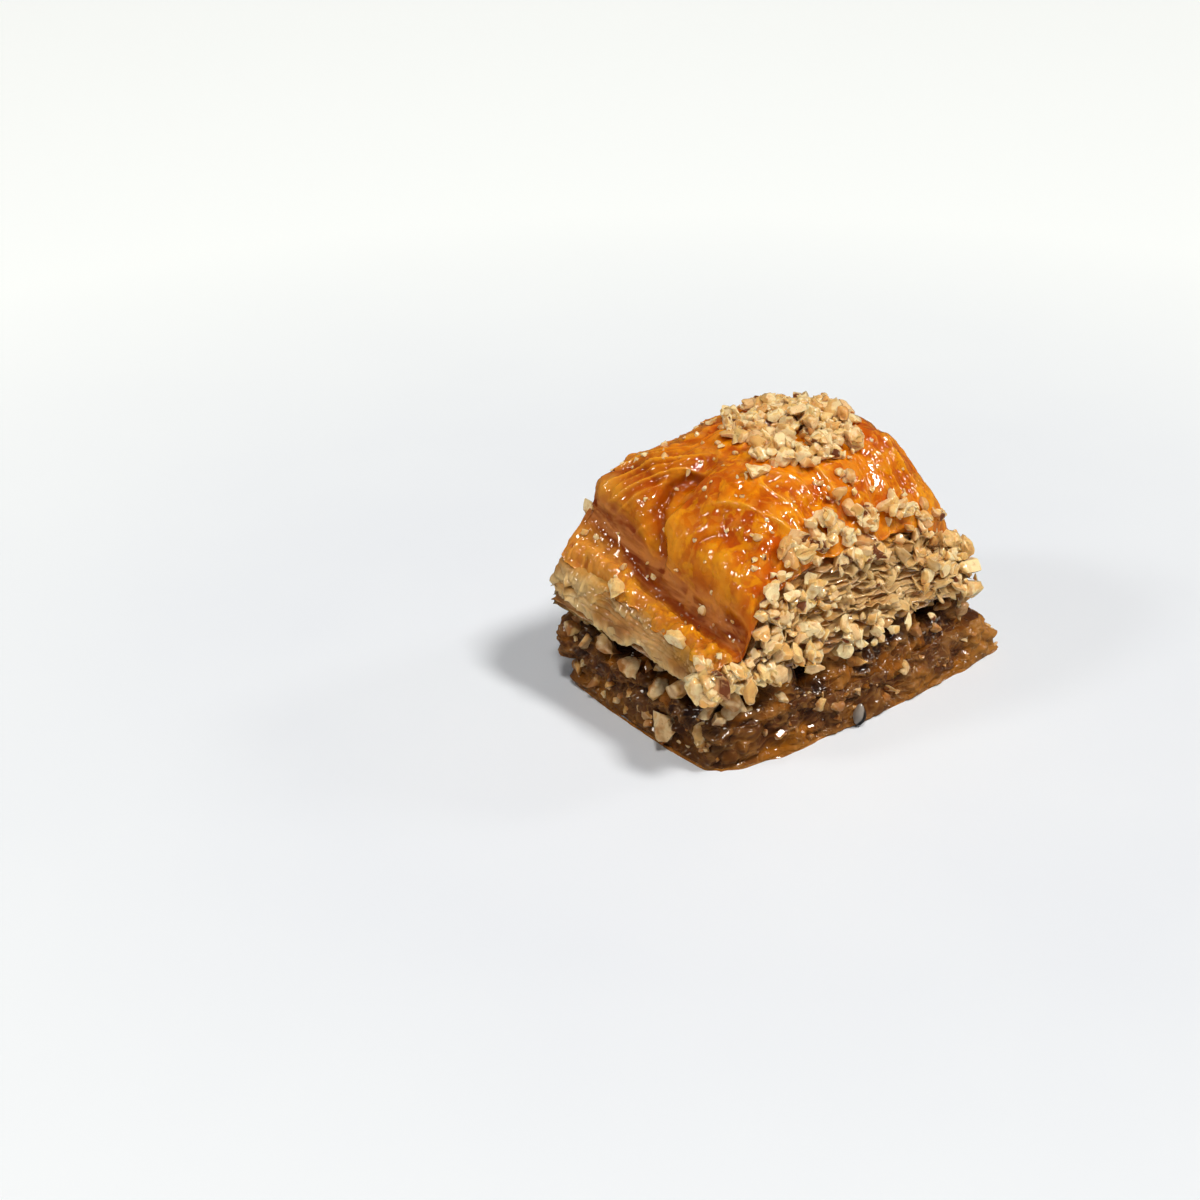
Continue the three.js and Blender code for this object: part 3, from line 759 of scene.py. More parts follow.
def skin_object(points, **shades):
    """The sheet with its edge turned down and under."""
    rows, columns = points.shape[:2]
    i = np.arange(rows * columns).reshape(rows, columns)
    border = np.concatenate([i[0, :-1], i[:-1, -1], i[-1, :0:-1], i[:0:-1, 0]])
    flat = points.reshape(-1, 3)
    loop = flat[border]
    outwards = loop_outwards(loop[:, :2])
    low = lowest_near(points[..., 2], columns // 40)
    a, b = np.meshgrid(np.linspace(-1, 1, columns), np.linspace(-1, 1, rows))
    a, b = a.ravel()[border], b.ravel()[border]
    under = []
    for t in np.linspace(0, 1, SKIN_TURN)[1:]:
        inset = HEM_TUCK * t * t
        ring = shift_out(loop, outwards, np.full(len(loop), -inset))
        ring[:, 2] -= SKIN_THICKNESS * np.sin(min(1, t * 1.6) * np.pi / 2)
        # It keeps below the surface above it, also where the crease cuts in.
        cover = nearest(low, *inset_place(a, b, outwards, inset))
        ring[:, 2] = np.minimum(ring[:, 2], lerp(ring[:, 2], cover - 0.25, smoothstep(0.1, 0.5, t)))
        under.append(ring)
    count = len(border)
    ring_index = len(flat) + np.arange((SKIN_TURN - 1) * count).reshape(SKIN_TURN - 1, count)
    rings = np.concatenate([border[None], ring_index])
    strips = [
        np.stack([lower, upper, np.roll(upper, -1), np.roll(lower, -1)], 1)
        for upper, lower in zip(rings, rings[1:])
    ]
    tail = np.full((SKIN_TURN - 1) * count, 0.3)
    return make_object(
        "glazed_skin", np.concatenate([flat, *under]), [grid_faces(rows, columns), *strips], GLAZED,
        **{key: np.concatenate([values.ravel(), tail]) for key, values in shades.items()},
    )


skin_points, skin_shades = skin_grid()
skin_normals = grid_normals(skin_points)
glazed_skin = skin_object(skin_points, **skin_shades)
skin_low = lowest_near(skin_points[..., 2], SKIN_STEPS[0] // 40)


# ---- The pile of pastry sheets under the skin ----
SHEET_COUNT = 16
SHEET_STEPS = 540
PILE_FOOT = FILLING_TOP + NODE_GAP
# Half a sheet's section, from inside over its edge and back: inset in mm, and share of its half thickness.
SHEET_SECTION = ((4, 1), (1.7, 1), (0.8, 1), (0.25, 0.9), (0, 0), (0.25, -0.9), (0.8, -1), (1.7, -1))


def side_shares(a, b):
    """How much each place of the outline belongs to the front, right, back and left side."""
    return tuple(smoothstep(0.9, 1.0, v) for v in (-b, a, b, -a))


def pile_side(t, h):
    """Points of the pile's side at t round the outline, h up."""
    a, b = outline_at(t)
    x, y = pile_plan_point(a, b, h)
    foot = PILE_FOOT + 0.5 * fbm(x * 0.22, y * 0.22, 0, 3, 41)
    top = skin_height(a, b) - 0.7 - SKIN_THICKNESS
    return np.stack([x, y, lerp(foot, top, h)], -1)


def pile_outwards(t):
    """Outward vectors at even places round the pile."""
    return loop_outwards(np.stack(pile_plan_point(*outline_at(t), 0.5), 1))


def pile_outwards_at(t):
    """Outward vectors at any places round the pile."""
    return outwards_at(t, pile_outwards(around(SHEET_STEPS)))


def skin_cover(ring):
    """How high a ring's points may be without showing through the skin."""
    x, y = ring[:, 0], ring[:, 1]
    a, b = x / HALF_LENGTH, y / HALF_WIDTH
    for _ in range(8):
        near_x, near_y = skin_plan_point(a, b)
        a, b = a + (x - near_x) / HALF_LENGTH, b + (y - near_y) / HALF_WIDTH
    return nearest(skin_low, a, b) + 3 * smoothstep(0.95, 1.0, np.abs(a)) - 0.3


def under_skin(t, outwards, inset, ring):
    """Heights of a ring's points, at an inset from the pile's side, held below the skin above them."""
    ceiling = skin_height(*inset_place(*outline_at(t), outwards, inset)) - 0.8 - 0.5 * inset
    return np.minimum(ring[:, 2], np.minimum(skin_cover(ring), ceiling))


def sheet_ribbons():
    """Edges of the sheets: ribbons round the pile, ragged, torn and drooping."""
    t = around(SHEET_STEPS)
    outwards = pile_outwards(t)
    points, faces, stains, ambers = [], [], [], []
    a, b = outline_at(t)
    front, right, back, left = side_shares(a, b)
    hang = 0.5 + 0.5 * left + 0.5 * right + 0.6 * back
    for k in range(SHEET_COUNT):
        seed = 100 + 7 * k
        h = (k + 0.7) / SHEET_COUNT
        rest = pile_side(t, h)
        x, y, z = rest.T
        gap = (pile_side(t, 1)[:, 2] - pile_side(t, 0)[:, 2]) / SHEET_COUNT
        thickness = np.minimum(gap * 0.5, 0.42) * (1 + 0.4 * noise(x * 0.5, y * 0.5, k, seed))
        out = 0.6 * fbm(x * 0.2, y * 0.2, k * 0.4, 3, 51)
        out = out + (0.45 - 0.3 * left) * noise(x * 0.6, y * 0.6, 0, seed + 1)
        out = out + 0.06 * (1 - left) * noise(x * 1.8, y * 1.8, 0, seed + 2) - 0.2 + 0.5 * left * (h - 0.5)
        torn = smoothstep(0.3, 0.6, noise(x * 0.3, y * 0.3, 0, seed + 3))
        out = out - 1.8 * torn * (1 - 0.7 * left) - 1.2 * left
        lift = 0.6 * fbm(x * 0.28, y * 0.28, k * 0.4, 3, 61) + 0.14 * noise(x * 1.1, y * 1.1, 0, seed + 4)
        lift = gap * lift
        drop = hang * (0.75 + 0.8 * noise(x * 0.2, y * 0.2, 0, seed + 5))
        drop = drop + 0.12 * noise(x * 0.8, y * 0.8, 0, seed + 6)
        drop = np.minimum(drop, z + lift - PILE_FOOT + 0.6)
        rings = []
        for inset, side in SHEET_SECTION:
            near = (1 - min(1, inset / 1.7))
            ring = shift_out(rest, outwards, out - inset * 0.8 - side * thickness / 2 * near)
            ring[:, 2] = z + lift - drop * near**1.6 + side * thickness / 2 * (1 - near)
            ring[:, 2] = under_skin(t, outwards, inset * 0.8, ring)
            rings.append(ring)
        start = len(points) * len(rings) * SHEET_STEPS
        faces.append(grid_faces(len(rings), SHEET_STEPS, True)[:, ::-1] + start)
        points.append(np.concatenate(rings))
        # Painted shade, along with syrup stain, darkens the left side and the pile's top and bottom; the
        # right and back are a little darker, and the stain varies at random.
        stain = 0.2 + 0.2 * left + 0.15 * right + 0.15 * back + 0.4 * smoothstep(0.8, 1, h)
        stain = stain + (0.35 + 0.5 * left) * smoothstep(0.3, 0, h)
        stain = stain + 0.35 * fbm(x * 0.25, y * 0.25, k * 0.5, 3, 71)
        stains.append(np.tile(np.clip(stain, 0, 1), len(rings)))
        amber = 0.15 + 0.2 * smoothstep(0.35, 0.8, h) + 0.8 * fbm(x * 0.2, y * 0.2, k * 0.3, 3, 74)
        ambers.append(np.tile(np.clip(amber * (0.4 + 0.6 * front), 0, 0.8), len(rings)))
    return make_object(
        "sheet_edges", np.concatenate(points), faces, SHEETS,
        stain=np.concatenate(stains), amber=np.concatenate(ambers),
    )


CURTAINS = 6
CURTAIN_STEPS = 540
CURTAIN_ROWS = 10
CURTAIN_THICKNESS = 0.14
# Where the curtains are torn away: t round the outline, and how far along, in mm.
CURTAIN_GAPS = ((3.13, 2.4), (3.56, 1.8))


def curtains():
    """Thin sheets that hang down the left side, each from under the next, with crinkled lower edges."""
    t = np.linspace(2.9, 3.98, CURTAIN_STEPS)
    ends = smoothstep(2.9, 3.05, t) * smoothstep(3.98, 3.86, t)
    outwards = pile_outwards_at(t)
    points, faces, stains, ambers = [], [], [], []
    for k in range(CURTAINS):
        seed = 500 + 11 * k
        share = k / (CURTAINS - 1)
        root = pile_side(t, lerp(0.98, 0.45, share))
        y, z = root[:, 1], root[:, 2]
        loose = 1.1 - 0.8 * front_share(y)
        lobes = noise(y * 0.26, k * 0.45, 0, 500) + 0.35 * noise(y * 0.6, k * 0.7, 0, seed + 1)
        length = 2.0 + 1.5 * lobes * loose + 0.35 * noise(y * 1.2, k, 0, seed + 2) * loose
        length = length + 0.14 * noise(y * 2.6, k, 0, seed + 3)
        length = length + 0.25 * noise(y * 0.9, k * 3.1, 0, seed + 4)
        for gap_t, reach in CURTAIN_GAPS:
            length = length * (1 - 0.7 * share * np.exp(-((t - gap_t) * 33 / reach)**2))
        length = np.clip(length * (0.25 + 0.75 * ends), 0.4, np.maximum(z - PILE_FOOT + 0.6, 0.6))
        front, back, folds = [], [], []
        for v in np.linspace(0, 1, CURTAIN_ROWS):
            pleat = (1 - np.abs(noise(y * 0.33 + 0.3 * lobes + 0.5 * v, v * 0.9, k * 0.4, 505)))**2
            crinkle = noise(y * 1.1 + v, v * 1.6, k, seed + 6) + 0.5 * noise(y * 2.4, v * 2.5, k, seed + 7)
            wave = (0.8 * lobes + 0.8 * pleat) * loose + 0.16 * crinkle * (0.3 + 0.7 * loose)
            out = -2.4 * smoothstep(0.4, 0, v) + (1.0 - 0.9 * share + wave) * v**1.2 * ends
            out = out - 0.9 * (1 - ends)
            drop = length * max(0.0, (v - 0.15) / 0.85)**1.2
            ring = shift_out(root, outwards, out)
            ring[:, 2] = z - drop
            hidden = np.minimum(ring[:, 2], skin_cover(ring))
            ring[:, 2] = lerp(ring[:, 2], hidden, smoothstep(3.06, 2.98, t))
            front.append(ring)
            behind = shift_out(ring, outwards, np.full(len(t), -CURTAIN_THICKNESS))
            behind[:, 2] -= 0.1 * (1 - v)
            back.append(behind)
            folds.append(0.3 * pleat * loose + 0.25 * lobes * loose + 0.12 * crinkle + 1.1 * v**2.5 - 0.3)
        grid = np.stack(front + back[::-1])
        count = len(points) * 2 * CURTAIN_ROWS * CURTAIN_STEPS
        faces.append(grid_faces(2 * CURTAIN_ROWS, CURTAIN_STEPS)[:, ::-1] + count)
        points.append(grid.reshape(-1, 3))
        gx, gy, gz = points[-1].T
        fold = np.concatenate(folds + folds[::-1])
        # Painted highlight pales the folds' crests and lower edges, and painted shade darkens their hollows
        # and their tops under the curtain above; the fbm adds stain at random.
        stain = 0.56 - 0.7 * fold + 0.35 * fbm(gx * 0.25, gy * 0.25, gz * 0.3, 3, 72)
        stains.append(np.clip(stain, 0, 0.9))
        amber = 0.4 - 0.4 * share + 1.2 * fbm(gx * 0.3, gy * 0.3, gz * 0.4, 3, 73)
        ambers.append(np.clip(amber * (0.4 + 0.6 * front_share(gy)), 0, 0.75))
    return make_object(
        "hanging_sheets", np.concatenate(points), faces, SHEETS,
        stain=np.concatenate(stains), amber=np.concatenate(ambers),
    )


def front_share(y):
    """1 at the front of the left side, falling to 0.25 at its back, where the sheets are paler."""
    return 0.25 + 0.75 * smoothstep(14, -6, y)


def pile_core():
    """What shows between the sheets: the pile's syrup-soaked inside, as a lumpy closed wall, dark as painted
    shade in the gaps.
    """
    rows = 40
    t = around(SHEET_STEPS // 2)
    outwards = pile_outwards(t)
    grid = []
    for h in np.linspace(0, 1, rows):
        rest = pile_side(t, h)
        x, y, z = rest.T
        out = -1.5 + 0.5 * fbm(x * 0.5, y * 0.5, z * 1.4, 3, 81) - 3 * smoothstep(0.9, 1, h)
        ring = shift_out(rest, outwards, out)
        ring[:, 2] += 0.3 * smoothstep(0.1, 0, h) - 0.2 * smoothstep(0.9, 1, h)
        ring[:, 2] = under_skin(t, outwards, 1.5 + 3 * smoothstep(0.9, 1, h), ring)
        grid.append(ring)
    # Its top reaches in, well below the skin.
    a, b = outline_at(t)
    a, b = a * 0.72, b * 0.72
    inside = np.stack([*skin_plan_point(a, b), skin_height(a, b) - 7.0], -1)
    grid = [shift_out(grid[0], outwards, np.full(len(t), -8.0)), *grid, inside]
    points = np.concatenate(grid)
    x, y, z = points.T
    # Dark: painted shade in the gaps between the sheets, with syrup stain.
    stain = np.clip(0.65 + 0.3 * fbm(x * 0.4, y * 0.4, z * 1.2, 3, 91), 0, 1)
    faces = [grid_faces(len(grid), len(t), True)]
    return make_object("pile_core", points, faces, SHEETS, stain=stain, amber=0 * stain)


sheet_edges = sheet_ribbons()
hanging_sheets = curtains()
core = pile_core()


# ---- Flakes of torn sheet ----
FLAKES = 120


def flakes():
    """Small curved scraps of sheet that stick out of the pile's sides."""
    rng = np.random.default_rng(11)
    n = FLAKES
    t = np.where(rng.random(n) < 0.4, rng.uniform(0.45, 0.9, n), rng.uniform(0.24, 2.8, n))
    h = rng.uniform(0.02, 0.9, n)
    outward = np.zeros((n, 3))
    outward[:, :2] = pile_outwards_at(t)
    places = pile_side(t, h) - outward * 0.7
    # Width along the pile and depth out of it, in mm.
    sizes = np.stack([rng.uniform(1.6, 6.5, n), rng.uniform(0.9, 2.4, n)], 1)
    _, right, _, left = side_shares(*outline_at(t))
    stain = np.clip(0.12 + 0.25 * left + 0.1 * right + rng.uniform(-0.2, 0.35, n), 0, 1)
    tilts, turns = rng.normal(-0.5, 0.5, n), rng.normal(0, 0.5, n)
    along_steps, out_steps = 9, 6
    u, v = np.meshgrid(np.linspace(-1, 1, along_steps), np.linspace(0, 1, out_steps))
    up = np.tile([0.0, 0, 1], (n, 1))
    side = unit(np.cross(up, outward))
    forward = unit(outward * np.cos(tilts)[:, None] + up * np.sin(tilts)[:, None])
    over = np.cross(forward, side)
    side, over = (side * np.cos(turns)[:, None] + over * np.sin(turns)[:, None],
                  over * np.cos(turns)[:, None] - side * np.sin(turns)[:, None])
    bend = rng.uniform(-0.5, 0.5, (n, 1, 1)) * sizes[:, 0, None, None]
    ragged = 1 + 0.3 * rng.uniform(-1, 1, (n, 1, along_steps)) - 0.35 * u[None, :1]**2
    wave = 0.12 * np.sin(u[None] * rng.uniform(2, 6, (n, 1, 1)) + rng.uniform(0, 6, (n, 1, 1)))
    length = v[None] * ragged * sizes[:, 1, None, None] - 0.6
    rise = bend * 0.35 * (u[None]**2 + v[None]**2 * 0.6) + wave * sizes[:, 0, None, None] * v[None]
    grid = (places[:, None, None] + side[:, None, None] * (u[None] * sizes[:, 0, None, None] / 2)[..., None]
            + forward[:, None, None] * length[..., None] + over[:, None, None] * rise[..., None])
    half = (over * 0.06)[:, None, None]
    top, bottom = grid + half, grid - half
    count = along_steps * out_steps
    i = np.arange(count).reshape(out_steps, along_steps)
    border = np.concatenate([i[0, :-1], i[:-1, -1], i[-1, :0:-1], i[:0:-1, 0]])
    quads = grid_faces(out_steps, along_steps)
    rim = np.stack([border, np.roll(border, -1), np.roll(border, -1) + count, border + count], 1)
    one = np.concatenate([quads, quads[:, ::-1] + count, rim[:, ::-1]])
    faces = (one[None] + (np.arange(n) * 2 * count)[:, None, None]).reshape(-1, 4)
    points = np.stack([top, bottom], 1).reshape(-1, 3)
    stain = np.repeat(stain, 2 * count)
    return make_object("pastry_flakes", points, [faces], SHEETS, stain=stain, amber=0 * stain)


pastry_flakes = flakes()


# ---- Chopped walnuts ----

def icosphere(frequency):
    """Points and triangles of a unit icosphere whose edges are cut in so many parts."""
    phi = (1 + 5**0.5) / 2
    corners = np.array([
        (-1, phi, 0), (1, phi, 0), (-1, -phi, 0), (1, -phi, 0), (0, -1, phi), (0, 1, phi),
        (0, -1, -phi), (0, 1, -phi), (phi, 0, -1), (phi, 0, 1), (-phi, 0, -1), (-phi, 0, 1),
    ])
    sides = (
        (0, 11, 5), (0, 5, 1), (0, 1, 7), (0, 7, 10), (0, 10, 11), (1, 5, 9), (5, 11, 4), (11, 10, 2),
        (10, 7, 6), (7, 1, 8), (3, 9, 4), (3, 4, 2), (3, 2, 6), (3, 6, 8), (3, 8, 9), (4, 9, 5),
        (2, 4, 11), (6, 2, 10), (8, 6, 7), (9, 8, 1),
    )
    points, faces, seen = [], [], {}

    def corner(side, i, j):
        first, second, third = corners[list(side)]
        point = (first * (frequency - i - j) + second * i + third * j) / frequency
        key = tuple(np.round(point, 5) + 0.0)
        if key not in seen:
            seen[key] = len(points)
            points.append(point / np.linalg.norm(point))
        return seen[key]

    for side in sides:
        for i in range(frequency):
            for j in range(frequency - i):
                ahead, beside = corner(side, i + 1, j), corner(side, i, j + 1)
                faces.append((corner(side, i, j), ahead, beside))
                if i + j < frequency - 1:
                    faces.append((ahead, corner(side, i + 1, j + 1), beside))
    return np.array(points), np.array(faces)


def random_turns(rng, n):
    """n random rotation matrices."""
    q = unit(rng.normal(size=(n, 4)))
    w, x, y, z = q.T
    return np.stack([
        np.stack([1 - 2 * (y * y + z * z), 2 * (x * y - w * z), 2 * (x * z + w * y)], -1),
        np.stack([2 * (x * y + w * z), 1 - 2 * (x * x + z * z), 2 * (y * z - w * x)], -1),
        np.stack([2 * (x * z - w * y), 2 * (y * z + w * x), 1 - 2 * (x * x + y * y)], -1),
    ], 1)


def lying_turns(rng, normals, tilt):
    """Rotations that lay flat pieces on surfaces with these normals, turned at random and tilted."""
    up = unit(normals + tilt * rng.normal(size=normals.shape))
    side = unit(np.cross(rng.normal(size=normals.shape), up))
    return np.stack([side, np.cross(up, side), up], -1)


def nut_pieces(name, places, sizes, material, rng, frequency, flat, turns, cream):
    """Jagged chips and chunks of nut about sizes across, in mm, centred on places.

    flat is the thinnest share of the width, turns are rotations, or None for any, and the last cream pieces
    are pale and have no husk.
    """
    n = len(places)
    ball, triangles = icosphere(frequency)
    seeds = rng.uniform(0, 90, (n, 1, 3))
    spot = ball * 1.4 + seeds
    lump = fbm(spot[..., 0], spot[..., 1], spot[..., 2], 2, 5)
    spot = ball * 4 + seeds
    grit = noise(spot[..., 0], spot[..., 1], spot[..., 2], 9)
    shape = ball[None] * (1 + 0.45 * lump + 0.1 * grit)[..., None]
    # Uneven round the rim, where a chip has broken.
    rim = unit(ball[:, :2]) * 1.5
    spikes = noise(rim[:, 0] + seeds[..., 0], rim[:, 1] + seeds[..., 1], seeds[..., 2], 11)
    shape[..., :2] *= (1 + 0.3 * spikes * (1 - ball[:, 2]**2))[..., None]
    for _ in range(2):
        centre = unit(rng.normal(size=(n, 3)))[:, None] * rng.uniform(0.9, 1.2, (n, 1, 1))
        radius = rng.uniform(0.25, 0.75, (n, 1))
        away = shape - centre
        inside = np.maximum(radius - np.linalg.norm(away, axis=-1), 0)
        shape = shape + unit(away) * inside[..., None] * 0.8
    husk, cut = np.zeros(shape.shape[:2]), np.zeros(shape.shape[:2])
    for plane in range(6):
        normal = unit(rng.normal(size=(n, 3)))
        reach = rng.uniform(0.4, 0.9, n)
        beyond = np.einsum("nvi,ni->nv", shape, normal) - reach[:, None]
        if plane < 2:
            keeps = rng.random(n) < (0.16 if plane == 0 else 0.06)
            husk = np.maximum(husk, (beyond > -0.12) * keeps[:, None])
        cut = np.maximum(cut, smoothstep(-0.06, 0.06, beyond))
        shape = shape - (np.logaddexp(0, 20 * beyond) / 20)[..., None] * normal[:, None]
    stretch = np.stack([np.ones(n), rng.uniform(0.55, 1, n), rng.uniform(flat, 0.75, n)], 1)
    shape = shape * stretch[:, None]
    shape[..., 2] += rng.uniform(-0.5, 0.5, (n, 1)) * shape[..., 0]**2
    widest = np.ptp(shape, axis=1).max(1)
    shape = shape * (sizes / widest)[:, None, None]
    turns = random_turns(rng, n) if turns is None else turns
    shape = np.einsum("nij,nvj->nvi", turns, shape) + places[:, None]
    tint = np.clip(rng.beta(1.6, 2.4, n), 0, 1)
    tint[n - cream:] *= 0.3
    husk[n - cream:] = 0
    faces = (triangles[None] + (np.arange(n) * len(ball))[:, None, None]).reshape(-1, 3)
    return make_object(
        name, shape.reshape(-1, 3), [faces], material, crisp=50,
        tint=np.repeat(tint, len(ball)), husk=husk.ravel(), cut=cut.ravel(),
    )


class Heap:
    """Heights of what already lies on the skin, so that crumbs pile up and don't run through each other."""

    def __init__(self):
        self.step = 0.4
        self.raised = np.zeros((140, 200))

    def settle(self, x, y, size):
        """How far above the skin a crumb rests at (x, y). Its own height is added to the heap."""
        i, j = int((y + 28) / self.step), int((x + 40) / self.step)
        r = max(1, int(size * 0.4 / self.step))
        patch = self.raised[max(i - r, 0):i + r + 1, max(j - r, 0):j + r + 1]
        level = float(np.mean(patch)) if patch.size else 0
        patch[:] = np.maximum(patch, level + size * 0.38)
        return level


# Spots of crumbs on the skin: place, reach along a and b, and share covered.
CRUMB_SPOTS = (
    ((-0.24, -0.24), (0.2, 0.2), 0.35),
    ((0.0, -0.86), (0.12, 0.12), 0.75),
    ((0.15, -0.95), (0.14, 0.1), 0.9),
    ((-0.2, -0.94), (0.3, 0.14), 1.0),
    ((-0.45, -1.0), (0.26, 0.08), 0.8),
    ((0.5, -0.97), (0.4, 0.09), 0.7),
    ((0.2, -0.62), (0.14, 0.14), 0.3),
)


def crown_cover(a, b):
    """Share of the skin under crumbs at (a, b): the crown's heap, and the spots in front of it."""
    x, y = skin_plan_point(a, b)
    wobble = 0.22 * fbm(x * 0.3, y * 0.3, 0, 3, 131)
    centre_x, centre_y = skin_plan_point(*HEAP_AT)
    cover = smoothstep(-0.1, 0.25, 1 - np.hypot(x - centre_x, y - centre_y) / HEAP_RADIUS + wobble)
    for centre, reach, share in CRUMB_SPOTS:
        spot = 1 - np.hypot((a - centre[0]) / reach[0], (b - centre[1]) / reach[1])
        cover = np.maximum(cover, share * smoothstep(-0.1, 0.4, spot + wobble))
    return cover


# How many crumbs are tried on the crown, strewn over the skin, and tried on the pile's sides.
CROWN_TRIES, STRAY_CRUMBS, SIDE_TRIES = 5200, 170, 1700


def skin_crumbs():
    """Places, sizes and normals of the crumbs on the skin."""
    rng = np.random.default_rng(23)
    heap = Heap()
    places, sizes, normals = [], [], []

    def drop(a, b, size):
        point, normal = nearest(skin_points, a, b), nearest(skin_normals, a, b)
        level = heap.settle(point[0], point[1], size)
        places.append(point + normal * (size * 0.1 + level * 0.42))
        sizes.append(size)
        normals.append(normal)

    for _ in range(CROWN_TRIES):
        a, b = rng.uniform(-1, 1, 2)
        if rng.random() < crown_cover(a, b) * 0.36:
            drop(a, b, 0.9 + 2.9 * rng.beta(1.6, 2.6))
    for _ in range(STRAY_CRUMBS):
        a, b = rng.uniform(-0.97, 0.97, 2)
        drop(a, b, 0.4 + 1.9 * rng.beta(1.2, 4))
    return np.array(places), np.array(sizes), np.array(normals)


# Clusters of crumbs on the front side: t, h up the pile, reach in both, and share covered.
FRONT_SPOTS = (
    (0.04, 0.45, 0.1, 0.8, 1.0), (0.27, 0.6, 0.2, 0.6, 1.0), (0.2, 0.15, 0.18, 0.35, 0.8),
    (0.5, 0.1, 0.16, 0.22, 0.9), (0.82, 0.55, 0.07, 0.25, 0.7), (0.97, 0.5, 0.09, 0.7, 0.8),
    (0.5, 1.0, 0.5, 0.2, 0.8),
)


def side_crumbs():
    """Places, sizes and outward directions of the crumbs stuck to the pile's sides."""
    rng = np.random.default_rng(29)
    n = SIDE_TRIES
    t = rng.uniform(0, 4, n)
    h = rng.uniform(-0.1, 1, n)
    a, b = outline_at(t)
    front, right, back, left = side_shares(a, b)
    x, y = pile_plan_point(a, b, h)
    patch = fbm(x * 0.16, y * 0.16, h * 2, 3, 141)
    clusters = 0.1 + 0 * t
    for at, up, along, high, share in FRONT_SPOTS:
        spot = 1 - np.hypot((t - at) / along, (h - up) / high)
        clusters = np.maximum(clusters, share * smoothstep(-0.1, 0.4, spot + 0.4 * patch))
    share = clusters * front + (0.3 + 0.5 * patch) * right + (0.2 + 0.5 * patch) * back
    share = share * (1 - 0.96 * left)
    share = np.maximum(share, smoothstep(3.86, 3.95, t))
    keep = rng.random(n) < share
    t, h = t[keep], h[keep]
    sizes = 0.8 + 3.2 * rng.beta(1.4, 2.7, len(t))
    outwards = pile_outwards_at(t)
    places = shift_out(pile_side(t, h), outwards, rng.uniform(-0.2, 0.5, len(t)) + 0.1 * sizes)
    return places, sizes, np.column_stack([outwards, np.full(len(t), 0.5)])


# Big chips that stand out: t, h up the pile, out and size, in mm.
CRUST_NUTS = (
    (0.985, 0.97, 0.6, 4.2), (1.01, 0.72, 0.8, 4.0), (0.99, 0.4, 0.5, 3.6), (3.72, 0.99, 0.9, 3.4),
    (3.34, 1.0, 0.6, 3.0),
)
# Kinds of crumb: name, sizes in mm, how finely they are meshed, and how many are big chips.
CRUMB_KINDS = (
    ("walnut_crumbs_large", 2.9, 9, 5, len(CRUST_NUTS)),
    ("walnut_crumbs_middling", 1.6, 2.9, 4, 0),
    ("walnut_crumbs_fine", 0, 1.6, 2, 0),
)


def all_crumbs():
    rng = np.random.default_rng(31)
    t, h, out, big = np.array(CRUST_NUTS).T
    outwards = pile_outwards_at(t)
    singles = shift_out(pile_side(t, h), outwards, out), big, np.column_stack([outwards, np.ones(len(t))])
    parts = zip(skin_crumbs(), side_crumbs(), singles)
    places, sizes, normals = (np.concatenate(part) for part in parts)
    turns = lying_turns(rng, normals, 0.45)
    pieces = []
    for name, least, most, frequency, cream in CRUMB_KINDS:
        kind = (sizes > least) & (sizes <= most)
        pieces.append(
            nut_pieces(name, places[kind], sizes[kind], CRUMB, rng, frequency, 0.35, turns[kind], cream)
        )
    return pieces


crumbs = all_crumbs()


# ---- The walnut filling ----
FILLING_FOOT = SLAB_TOP - 0.1
FILLING_STEPS = 520
# How many small nuts are tried in the filling.
FILLING_TRIES = 270
# Hollows: t, height, reach along and up, and depth, in mm.
HOLLOWS = (
    (3.6, 11.6, 4.0, 2.4, 8.0), (3.85, 11.2, 3.2, 2.1, 8.0), (3.4, 10.4, 2.0, 1.7, 6.0),
    (3.12, 12.4, 3.0, 2.3, 7.5), (3.27, 8.6, 1.3, 1.0, 2.5), (0.1, 9.8, 2.6, 1.5, 4.5),
    (0.33, 9.8, 2.0, 1.9, 4.5), (0.66, 11.0, 1.8, 1.2, 4.0), (0.86, 10.6, 2.2, 1.4, 4.5),
    (1.3, 10.2, 2.4, 1.4, 4.0), (1.7, 9.8, 2.0, 1.3, 3.5), (2.25, 10.2, 3.0, 1.4, 4.0),
    (2.62, 9.6, 2.4, 1.6, 4.0),
)
# Lengths of the filling's sides, in mm.
SIDE_LENGTHS = (47.6, 35.0, 47.4, 32.6)
# Big pieces of nut: t, height, out and size, in mm.
FILLING_NUTS = (
    (3.97, 10.4, 0.5, 3.6), (3.95, 12.0, 0.7, 3.2), (0.02, 11.4, 0.6, 3.4), (0.03, 8.8, 0.5, 3.0),
    (3.99, 8.0, 0.5, 2.6), (3.77, 9.6, 0.0, 5.2), (3.3, 9.6, -0.3, 3.8), (3.47, 8.4, 0.0, 3.2),
    (3.63, 7.6, -0.4, 3.6), (3.93, 8.0, 0.0, 3.4), (0.05, 9.2, 0.0, 3.4), (0.2, 8.0, 0.0, 3.2),
    (0.24, 10.6, -0.3, 3.0), (0.45, 8.6, -0.2, 2.8), (0.76, 9.4, 0.1, 2.8), (1.2, 8.6, 0.0, 3.8),
    (1.5, 10.2, 0.0, 3.4), (2.4, 9.0, 0.0, 4.2), (2.8, 9.6, 0.0, 3.8), (3.15, 8.0, 0.0, 3.0),
)


